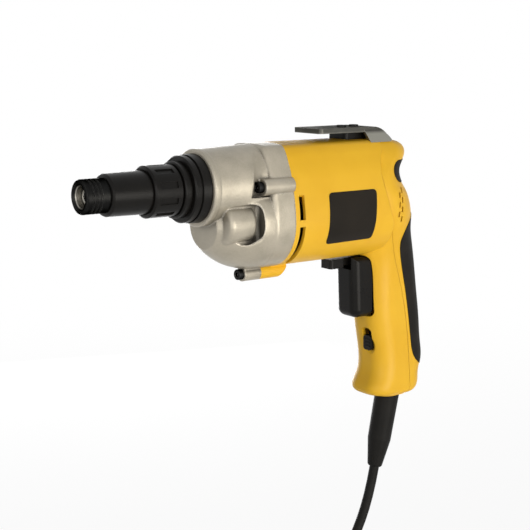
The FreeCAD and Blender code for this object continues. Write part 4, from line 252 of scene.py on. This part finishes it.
class Tree:
    def __init__(self, owner):
        owner.use_nodes = True
        self.nodes = owner.node_tree.nodes
        self.links = owner.node_tree.links

    def feed(self, socket, value):
        if isinstance(value, Wire):
            self.links.new(value.socket, socket)
        elif socket.type == "RGBA":
            socket.default_value = tuple(value) + (1.0,)
        else:
            socket.default_value = value

    def node(self, kind, settings, sockets, out=0):
        made = self.nodes.new(kind)
        for key, value in settings.items():
            setattr(made, key, value)
        for key, value in sockets.items():
            self.feed(made.inputs[key], value)
        return Wire(self, made.outputs[out])

    def maths(self, operation, first, second):
        return self.node("ShaderNodeMath", {"operation": operation}, {0: first, 1: second})

    def vector(self, operation, *parts, out="Vector"):
        return self.node("ShaderNodeVectorMath", {"operation": operation}, dict(enumerate(parts)), out)

    def ramp(self, value, low, high, start=0.0, end=1.0):
        sockets = {"Value": value, "From Min": low, "From Max": high, "To Min": start, "To Max": end}
        return self.node("ShaderNodeMapRange", {"interpolation_type": "SMOOTHSTEP"}, sockets, "Result")

    def blend(self, mask, first, second):
        sockets = {MIX_FACTOR: mask, MIX_FIRST: first, MIX_SECOND: second}
        return self.node("ShaderNodeMix", {"data_type": "RGBA"}, sockets, MIX_RESULT)

    def vary(self, middle, *shares):
        # A value that patterns move up and down about its middle, each by its share
        total = middle - sum(share for pattern, share in shares) / 2.0
        for pattern, share in shares:
            total = pattern * share + total
        return total

    def seen(self):
        # 1 for what the eye, a gloss or a glass sees, 0 for what lights the tool
        eye = self.node("ShaderNodeLightPath", {}, {}, "Is Camera Ray")
        gloss = self.node("ShaderNodeLightPath", {}, {}, "Is Glossy Ray")
        glass = self.node("ShaderNodeLightPath", {}, {}, "Is Transmission Ray")
        return self.maths("MINIMUM", eye + gloss + glass, 1.0)


# Lay of a pattern: how dense it is along x, y and z
ANY_WAY = (1.0, 1.0, 1.0)
ALONG_TOOL = (0.2, 4.0, 4.0)
ROUND_TOOL = (6.0, 0.35, 0.35)
UPRIGHT = (4.0, 4.0, 0.3)
SHEET_LAY = (9.0, 0.3, 0.3)
WIRE_LAY = (1.0, 6.0, 6.0)
CROSS_LAY = (0.25, 3.0, 3.0)
LONG_LAY = (3.0, 0.4, 0.4)

# Sizes of the patterns, reach of the rubbed edges, reach of the painted shade in recesses and depths of the
# relief, in metres
MOULD_CLOUD = 0.035
SKIN_CLOUD = 0.02
CAST_CLOUD = 0.016
METAL_CLOUD = 0.02
RUB_PATCH = 0.006
CAST_GRAIN = 0.0010
TOOL_LINE = 0.0012
WIRE_ROW = 0.0016
CROSS_THREAD = 0.0008
LONG_THREAD = 0.0010
EDGE = 0.0006
METAL_EDGE = 0.00036
STRAP_EDGE = 0.0003
CAST_EDGE = 0.0020
RECESS = 0.028
CAST_RELIEF = 0.00014
LINE_RELIEF = 0.00003
WIRE_RELIEF = 0.0003
WEAVE_RELIEF = 0.0003

# Spans of values that a ramp opens up to the full range; the last two run downwards
WIDE_SPAN = (0.3, 0.7)
MIDDLE_SPAN = (0.35, 0.65)
TIGHT_SPAN = (0.4, 0.6)
LINE_SPAN = (0.32, 0.68)
SKIN_SPAN = (0.3, 0.8)
RECESS_SHADE_SPAN = (0.98, 0.30)
EDGE_SPAN = (0.97, 0.80)

# How much smoother a rubbed edge is, and how many rays look for recesses and edges
MOULD_RUB_SHINE = 0.06
CAST_RUB_SHINE = 0.08
RECESS_SAMPLES = 8
EDGE_SAMPLES = 4

# Regions in another tone: the bare bore of the tip round the spindle's axis, and the hook's lower part,
# painted lighter than its dark top as a painted reflection
AXIS_Z = 0.100
BORE_EDGE = 0.0074
BORE_FADE = 0.0004
SHEEN_FADE_TOP = 0.1348
SHEEN_FULL_BELOW = 0.1315


class Finish(Tree):
    # One finish of the tool; its patterns are in the piece's own space, so they move with it
    def __init__(self, name, **fixed):
        self.material = bpy.data.materials.new(name)
        Tree.__init__(self, self.material)
        self.shader = self.nodes["Principled BSDF"]
        self.wear(**fixed)
        self.place = self.node("ShaderNodeTexCoord", {}, {}, "Object")

    def wear(self, **values):
        # The key base_color stands for the shader's socket Base Color
        for key, value in values.items():
            socket = key.replace("_", " ").title().replace("Ior", "IOR")
            self.feed(self.shader.inputs[socket], value)

    def noise(self, size, detail, lay=ANY_WAY):
        spread = self.vector("MULTIPLY", self.place, tuple(part / size for part in lay))
        sockets = {"Vector": spread, "Scale": 1.0, "Detail": detail}
        return self.node("ShaderNodeTexNoise", {}, sockets, "Fac")

    def pits(self, size):
        sockets = {"Vector": self.place, "Scale": 1.0 / size}
        return self.node("ShaderNodeTexVoronoi", {}, sockets, "Distance")

    def height(self):
        return self.node("ShaderNodeSeparateXYZ", {}, {"Vector": self.place}, "Z")

    def from_axis(self):
        # Distance from the axis that the spindle turns on
        shift = self.vector("SUBTRACT", self.place, (0.0, 0.0, AXIS_Z))
        across = self.vector("MULTIPLY", shift, (0.0, 1.0, 1.0))
        return self.vector("LENGTH", across, out="Value")

    def open_sky(self, reach):
        # 1 on an open face of this piece, less in its recesses
        settings = {"samples": RECESS_SAMPLES, "only_local": True}
        return self.node("ShaderNodeAmbientOcclusion", settings, {"Distance": reach}, "AO")

    def round_edges(self, reach):
        # 1 on the edges of this piece, 0 on its faces; the relief starts from the rounded edges
        self.rounded = self.node("ShaderNodeBevel", {"samples": EDGE_SAMPLES}, {"Radius": reach})
        flat = self.node("ShaderNodeNewGeometry", {}, {}, "Normal")
        along = self.vector("DOT_PRODUCT", self.rounded, flat, out="Value")
        return self.ramp(along, *EDGE_SPAN)

    def relief(self, height, depth):
        sockets = {"Height": height, "Distance": depth, "Normal": self.rounded}
        self.wear(normal=self.node("ShaderNodeBump", {}, sockets))


def moulded(name, dark, light, worn, rough, grain, depth, **fixed):
    # Moulded plastic: slow shift of tone, spark grain, edges rubbed a little smoother
    finish = Finish(name, **fixed)
    slow = finish.noise(MOULD_CLOUD, detail=3.0)
    fine = finish.noise(grain, detail=2.0)
    patches = finish.ramp(finish.noise(RUB_PATCH, detail=3.0), *MIDDLE_SPAN)
    rub = finish.round_edges(EDGE) * patches
    tone = finish.blend(finish.ramp(slow, *WIDE_SPAN), dark, light)
    finish.wear(base_color=finish.blend(rub, tone, worn))
    finish.wear(roughness=finish.vary(rough, (fine, 0.12), (slow, 0.08)) - rub * MOULD_RUB_SHINE)
    finish.relief(fine, depth)
    return finish.material


def soft_rubber(name, dark, light, rough, pit, depth):
    # Soft overmould: fine pitted skin over a slow cloud, edges a little lighter
    finish = Finish(name, specular_ior_level=0.11)
    cloud = finish.noise(SKIN_CLOUD, detail=3.0)
    skin = finish.pits(pit) * 0.7 + finish.noise(pit * 0.6, detail=2.0) * 0.5
    rub = finish.round_edges(EDGE)
    finish.wear(base_color=finish.blend(finish.ramp(cloud + rub * 0.3, *SKIN_SPAN), dark, light))
    finish.wear(roughness=finish.vary(rough, (skin, 0.10), (cloud, 0.08)))
    finish.relief(skin, depth)
    return finish.material


def cast_alloy(name, dark, light, recess_shade, worn, rough):
    # Die cast alloy: cloudy skin, grains of the mould, recesses darkened with painted shade, edges rubbed
    # bright
    finish = Finish(name, metallic=0.45, specular_ior_level=0.4)
    cloud = finish.noise(CAST_CLOUD, detail=4.0)
    grain = finish.noise(CAST_GRAIN, detail=3.0)
    rub = finish.round_edges(CAST_EDGE)
    tone = finish.blend(finish.ramp(cloud * 0.75 + grain * 0.25, *WIDE_SPAN), dark, light)
    # Painted shade: the recesses of the piece are darkened towards the recess shade colour
    tone = finish.blend(finish.ramp(finish.open_sky(RECESS), *RECESS_SHADE_SPAN), tone, recess_shade)
    finish.wear(base_color=finish.blend(rub * 0.8, tone, worn))
    finish.wear(roughness=finish.vary(rough, (grain, 0.14), (cloud, 0.12)) - rub * CAST_RUB_SHINE)
    finish.relief(grain + cloud * 0.8, CAST_RELIEF)
    return finish.material


def tip_bore(finish):
    return finish.ramp(finish.from_axis(), BORE_EDGE + BORE_FADE, BORE_EDGE)


# Painted reflection: the hook is painted lighter below this height and stays dark on its top
def hook_low_sheen(finish):
    return finish.ramp(finish.height(), SHEEN_FADE_TOP, SHEEN_FULL_BELOW)


def worked_metal(name, dark, light, worn, rough, lay, bare_and_sheen_region=None, bare_and_sheen_tone=None, **fixed):
    # Turned, drawn or ground metal: fine tool lines, worn edges and, if asked for, one region in another
    # tone: bare metal in the tip's bore, painted reflection on the hook's lower part
    finish = Finish(name, metallic=1.0, **fixed)
    lines = finish.noise(TOOL_LINE, detail=3.0, lay=lay)
    cloud = finish.noise(METAL_CLOUD, detail=3.0)
    rub = finish.round_edges(METAL_EDGE)
    tone = finish.blend(finish.ramp(lines * 0.55 + cloud * 0.45, *LINE_SPAN), dark, light)
    tone = finish.blend(rub, tone, worn)
    # The tip's bare bore, and the hook's painted reflection below its top, blend in here
    if bare_and_sheen_region:
        tone = finish.blend(bare_and_sheen_region(finish), tone, bare_and_sheen_tone)
    finish.wear(base_color=tone)
    finish.wear(roughness=finish.vary(rough, (lines, 0.18), (cloud, 0.08)))
    finish.relief(lines, LINE_RELIEF)
    return finish.material


def wound_wire(name, dark, light, rough):
    # Enamelled wire laid in rows
    finish = Finish(name, metallic=0.6)
    rows = finish.noise(WIRE_ROW, detail=1.0, lay=WIRE_LAY)
    finish.round_edges(EDGE)
    finish.wear(base_color=finish.blend(finish.ramp(rows, *MIDDLE_SPAN), dark, light))
    finish.wear(roughness=finish.vary(rough, (rows, 0.2)))
    finish.relief(rows, WIRE_RELIEF)
    return finish.material


def woven_strap(name, dark, light, rough):
    # Webbing: threads across and along
    finish = Finish(name, specular_ior_level=0.2)
    across = finish.noise(CROSS_THREAD, detail=1.0, lay=CROSS_LAY)
    along = finish.noise(LONG_THREAD, detail=1.0, lay=LONG_LAY)
    weave = across * 0.5 + along * 0.5
    finish.round_edges(STRAP_EDGE)
    finish.wear(base_color=finish.blend(finish.ramp(weave, *TIGHT_SPAN), dark, light))
    finish.wear(roughness=finish.vary(rough, (weave, 0.2)))
    finish.relief(weave, WEAVE_RELIEF)
    return finish.material


YELLOW = moulded("yellow_shell", dark=(0.83, 0.465, 0.016), light=(0.87, 0.505, 0.022),
                 worn=(0.89, 0.54, 0.04), rough=0.46, grain=0.0008, depth=0.00003,
                 specular_ior_level=0.38)
BLACK = moulded("black_nylon", dark=(0.0055, 0.0050, 0.0044), light=(0.0085, 0.0077, 0.0067),
                worn=(0.022, 0.020, 0.018), rough=0.30, grain=0.0007, depth=0.00004,
                specular_ior_level=0.12)
PLATE = moulded("bare_plate", dark=(0.0100, 0.0072, 0.0040), light=(0.0145, 0.0108, 0.0066),
                worn=(0.030, 0.026, 0.020), rough=0.34, grain=0.0012, depth=0.00002,
                specular_ior_level=0.13)
GRIP = soft_rubber("soft_grip", dark=(0.010, 0.0088, 0.0074), light=(0.019, 0.0165, 0.014),
                   rough=0.59, pit=0.0011, depth=0.00012)
SHEATH = soft_rubber("rubber_sheath", dark=(0.0085, 0.0080, 0.0072), light=(0.015, 0.014, 0.013),
                     rough=0.53, pit=0.0008, depth=0.00005)
CARBON = soft_rubber("pressed_carbon", dark=(0.03, 0.03, 0.03), light=(0.05, 0.05, 0.05),
                     rough=0.59, pit=0.0006, depth=0.0001)
WEBBING = woven_strap("tie_webbing", dark=(0.008, 0.008, 0.008), light=(0.020, 0.020, 0.020), rough=0.72)
# The gear case's recesses are darkened with painted shade
ALLOY = cast_alloy("cast_alloy", dark=(0.375, 0.340, 0.270), light=(0.485, 0.440, 0.355),
                   recess_shade=(0.12, 0.111, 0.092), worn=(0.64, 0.59, 0.495), rough=0.35)
# The hook's dark top and lighter lower part are painted reflection
HOOK = worked_metal("hook_strip", dark=(0.050, 0.049, 0.044), light=(0.085, 0.083, 0.074),
                    worn=(0.30, 0.29, 0.26), rough=0.42, lay=ALONG_TOOL,
                    bare_and_sheen_region=hook_low_sheen, bare_and_sheen_tone=(0.27, 0.265, 0.23), specular_tint=(0.2, 0.2, 0.18))
STEEL = worked_metal("ground_steel", dark=(0.46, 0.45, 0.43), light=(0.58, 0.57, 0.55),
                     worn=(0.68, 0.67, 0.65), rough=0.32, lay=ROUND_TOOL)
BRIGHT = worked_metal("bright_steel", dark=(0.58, 0.57, 0.54), light=(0.70, 0.69, 0.66),
                      worn=(0.78, 0.77, 0.74), rough=0.20, lay=ROUND_TOOL)
BLACK_TIP = worked_metal("blacked_tip", dark=(0.010, 0.010, 0.010), light=(0.020, 0.020, 0.019),
                         worn=(0.09, 0.088, 0.082), rough=0.38, lay=ROUND_TOOL,
                         bare_and_sheen_region=tip_bore, bare_and_sheen_tone=(0.30, 0.285, 0.25), specular_tint=(0.25, 0.25, 0.24))
BLACK_SCREW = worked_metal("blacked_screw", dark=(0.018, 0.018, 0.018), light=(0.034, 0.034, 0.033),
                           worn=(0.20, 0.195, 0.185), rough=0.34, lay=ANY_WAY,
                           specular_tint=(0.3, 0.3, 0.29))
SHEETS = worked_metal("stacked_sheets", dark=(0.16, 0.16, 0.165), light=(0.26, 0.26, 0.265),
                      worn=(0.34, 0.34, 0.34), rough=0.42, lay=SHEET_LAY)
COPPER = wound_wire("enamelled_copper", dark=(0.42, 0.17, 0.07), light=(0.62, 0.28, 0.13), rough=0.38)
BARS = worked_metal("commutator_copper", dark=(0.50, 0.24, 0.12), light=(0.64, 0.33, 0.18),
                    worn=(0.72, 0.42, 0.26), rough=0.30, lay=ROUND_TOOL)
BRONZE = worked_metal("sintered_bronze", dark=(0.45, 0.30, 0.14), light=(0.56, 0.39, 0.19),
                      worn=(0.64, 0.47, 0.26), rough=0.38, lay=ANY_WAY)
PINS = worked_metal("plated_pins", dark=(0.66, 0.62, 0.50), light=(0.76, 0.72, 0.60),
                    worn=(0.82, 0.78, 0.68), rough=0.22, lay=UPRIGHT)

WORN_BY = (
    (YELLOW, "motor_housing rear_cover"),
    (BLACK, "nose_ring nose_base depth_collar locator_sleeve nose_o_ring"),
    (BLACK, "trigger reverse_lever lock_slide switch_body"),
    (BLACK, "hook_spacer cord_clamp brush_holders cooling_fan"),
    (PLATE, "name_plate"),
    (GRIP, "grip_overmold"),
    (SHEATH, "strain_relief plug_body"),
    (ALLOY, "gear_case bearing_plate"),
    (BLACK_TIP, "locator_tip"),
    (BLACK_SCREW, "gear_case_screws rear_cover_screws cord_clamp_screws hook_screws"),
    (HOOK, "belt_hook"),
    (STEEL, "output_spindle holder_clip thrust_washer clutch_spring drive_gear front_bearing"),
    (STEEL, "rear_bearing armature_shaft brush_springs"),
    (BRIGHT, "bit_holder"),
    (SHEETS, "field_stator armature_core"),
    (COPPER, "field_coils armature_windings"),
    (BARS, "commutator"),
    (BRONZE, "spindle_bush gear_bush"),
    (PINS, "plug_pins"),
    (CARBON, "carbon_brushes"),
)
for material, names in WORN_BY:
    for name in names.split():
        mesh = NODES[name].data
        mesh.materials.clear()
        mesh.materials.append(material)
CORD.data.materials.append(SHEATH)
STRAP.data.materials.append(WEBBING)

# Stage: pale floor under the hanging plug and an even surround,
# which are both white to the eye, to gloss and to glass
FLOOR_Z = -0.372
FLOOR_HALF = 9.0
FLOOR_TONE = (0.86, 0.86, 0.86)
FLOOR_ROUGH = 0.95
SHADE_NEAR = 0.3
SHADE_FAR = 1.8
SHADE_KEPT = 0.10
AMBIENT = 0.11
AMBIENT_TINT = (0.97, 0.985, 1.0)
WHITE = (1.0, 1.0, 1.0)
LAMP_AIM = Vector((-0.05, 0.0, 0.06))


def make_floor():
    h = FLOOR_HALF
    corners = [(-h, -h, FLOOR_Z), (h, -h, FLOOR_Z), (h, h, FLOOR_Z), (-h, h, FLOOR_Z)]
    mesh = bpy.data.meshes.new("floor")
    mesh.from_pydata(corners, [], [(0, 1, 2, 3)])
    floor = bpy.data.objects.new("floor", mesh)
    SCENE.collection.objects.link(floor)
    pale = Finish("pale_floor", base_color=FLOOR_TONE, roughness=FLOOR_ROUGH)
    # Near the tool the floor keeps a part of its own shading, and so the shadow
    away = pale.vector("LENGTH", pale.place, out="Value")
    white = pale.ramp(away, SHADE_NEAR, SHADE_FAR, 1.0 - SHADE_KEPT, 1.0)
    glow = pale.node("ShaderNodeEmission", {}, {"Color": WHITE, "Strength": 1.0})
    plain = Wire(pale, pale.shader.outputs[0])
    both = pale.node("ShaderNodeMixShader", {}, {0: white * pale.seen(), 1: plain, 2: glow})
    pale.feed(pale.nodes["Material Output"].inputs["Surface"], both)
    mesh.materials.append(pale.material)


def make_surround():
    world = bpy.data.worlds.new("studio")
    SCENE.world = world
    tree = Tree(world)
    lights = tree.node("ShaderNodeBackground", {}, {"Color": AMBIENT_TINT, "Strength": AMBIENT})
    shows = tree.node("ShaderNodeBackground", {}, {"Color": WHITE, "Strength": 1.0})
    both = tree.node("ShaderNodeMixShader", {}, {0: tree.seen(), 1: lights, 2: shows})
    tree.feed(tree.nodes["World Output"].inputs["Surface"], both)


def lamp(name, place, size, power, tint):
    data = bpy.data.lights.new(name, "AREA")
    data.shape = "RECTANGLE"
    data.size, data.size_y = size
    data.energy = power
    data.color = tint
    item = bpy.data.objects.new(name, data)
    SCENE.collection.objects.link(item)
    item.location = place
    item.rotation_euler = (LAMP_AIM - Vector(place)).to_track_quat("-Z", "Y").to_euler()


make_floor()
make_surround()
lamp("key", place=(0.06, -1.33, -0.10), size=(0.9, 0.9), power=15.2, tint=(1.0, 0.955, 0.88))
lamp("nose_side_fill", place=(-1.1, -0.75, 0.20), size=(0.8, 0.8), power=4.6, tint=(1.0, 0.98, 0.95))
lamp("far_side_fill", place=(0.45, 1.3, -0.10), size=(0.9, 0.9), power=14.0, tint=WHITE)
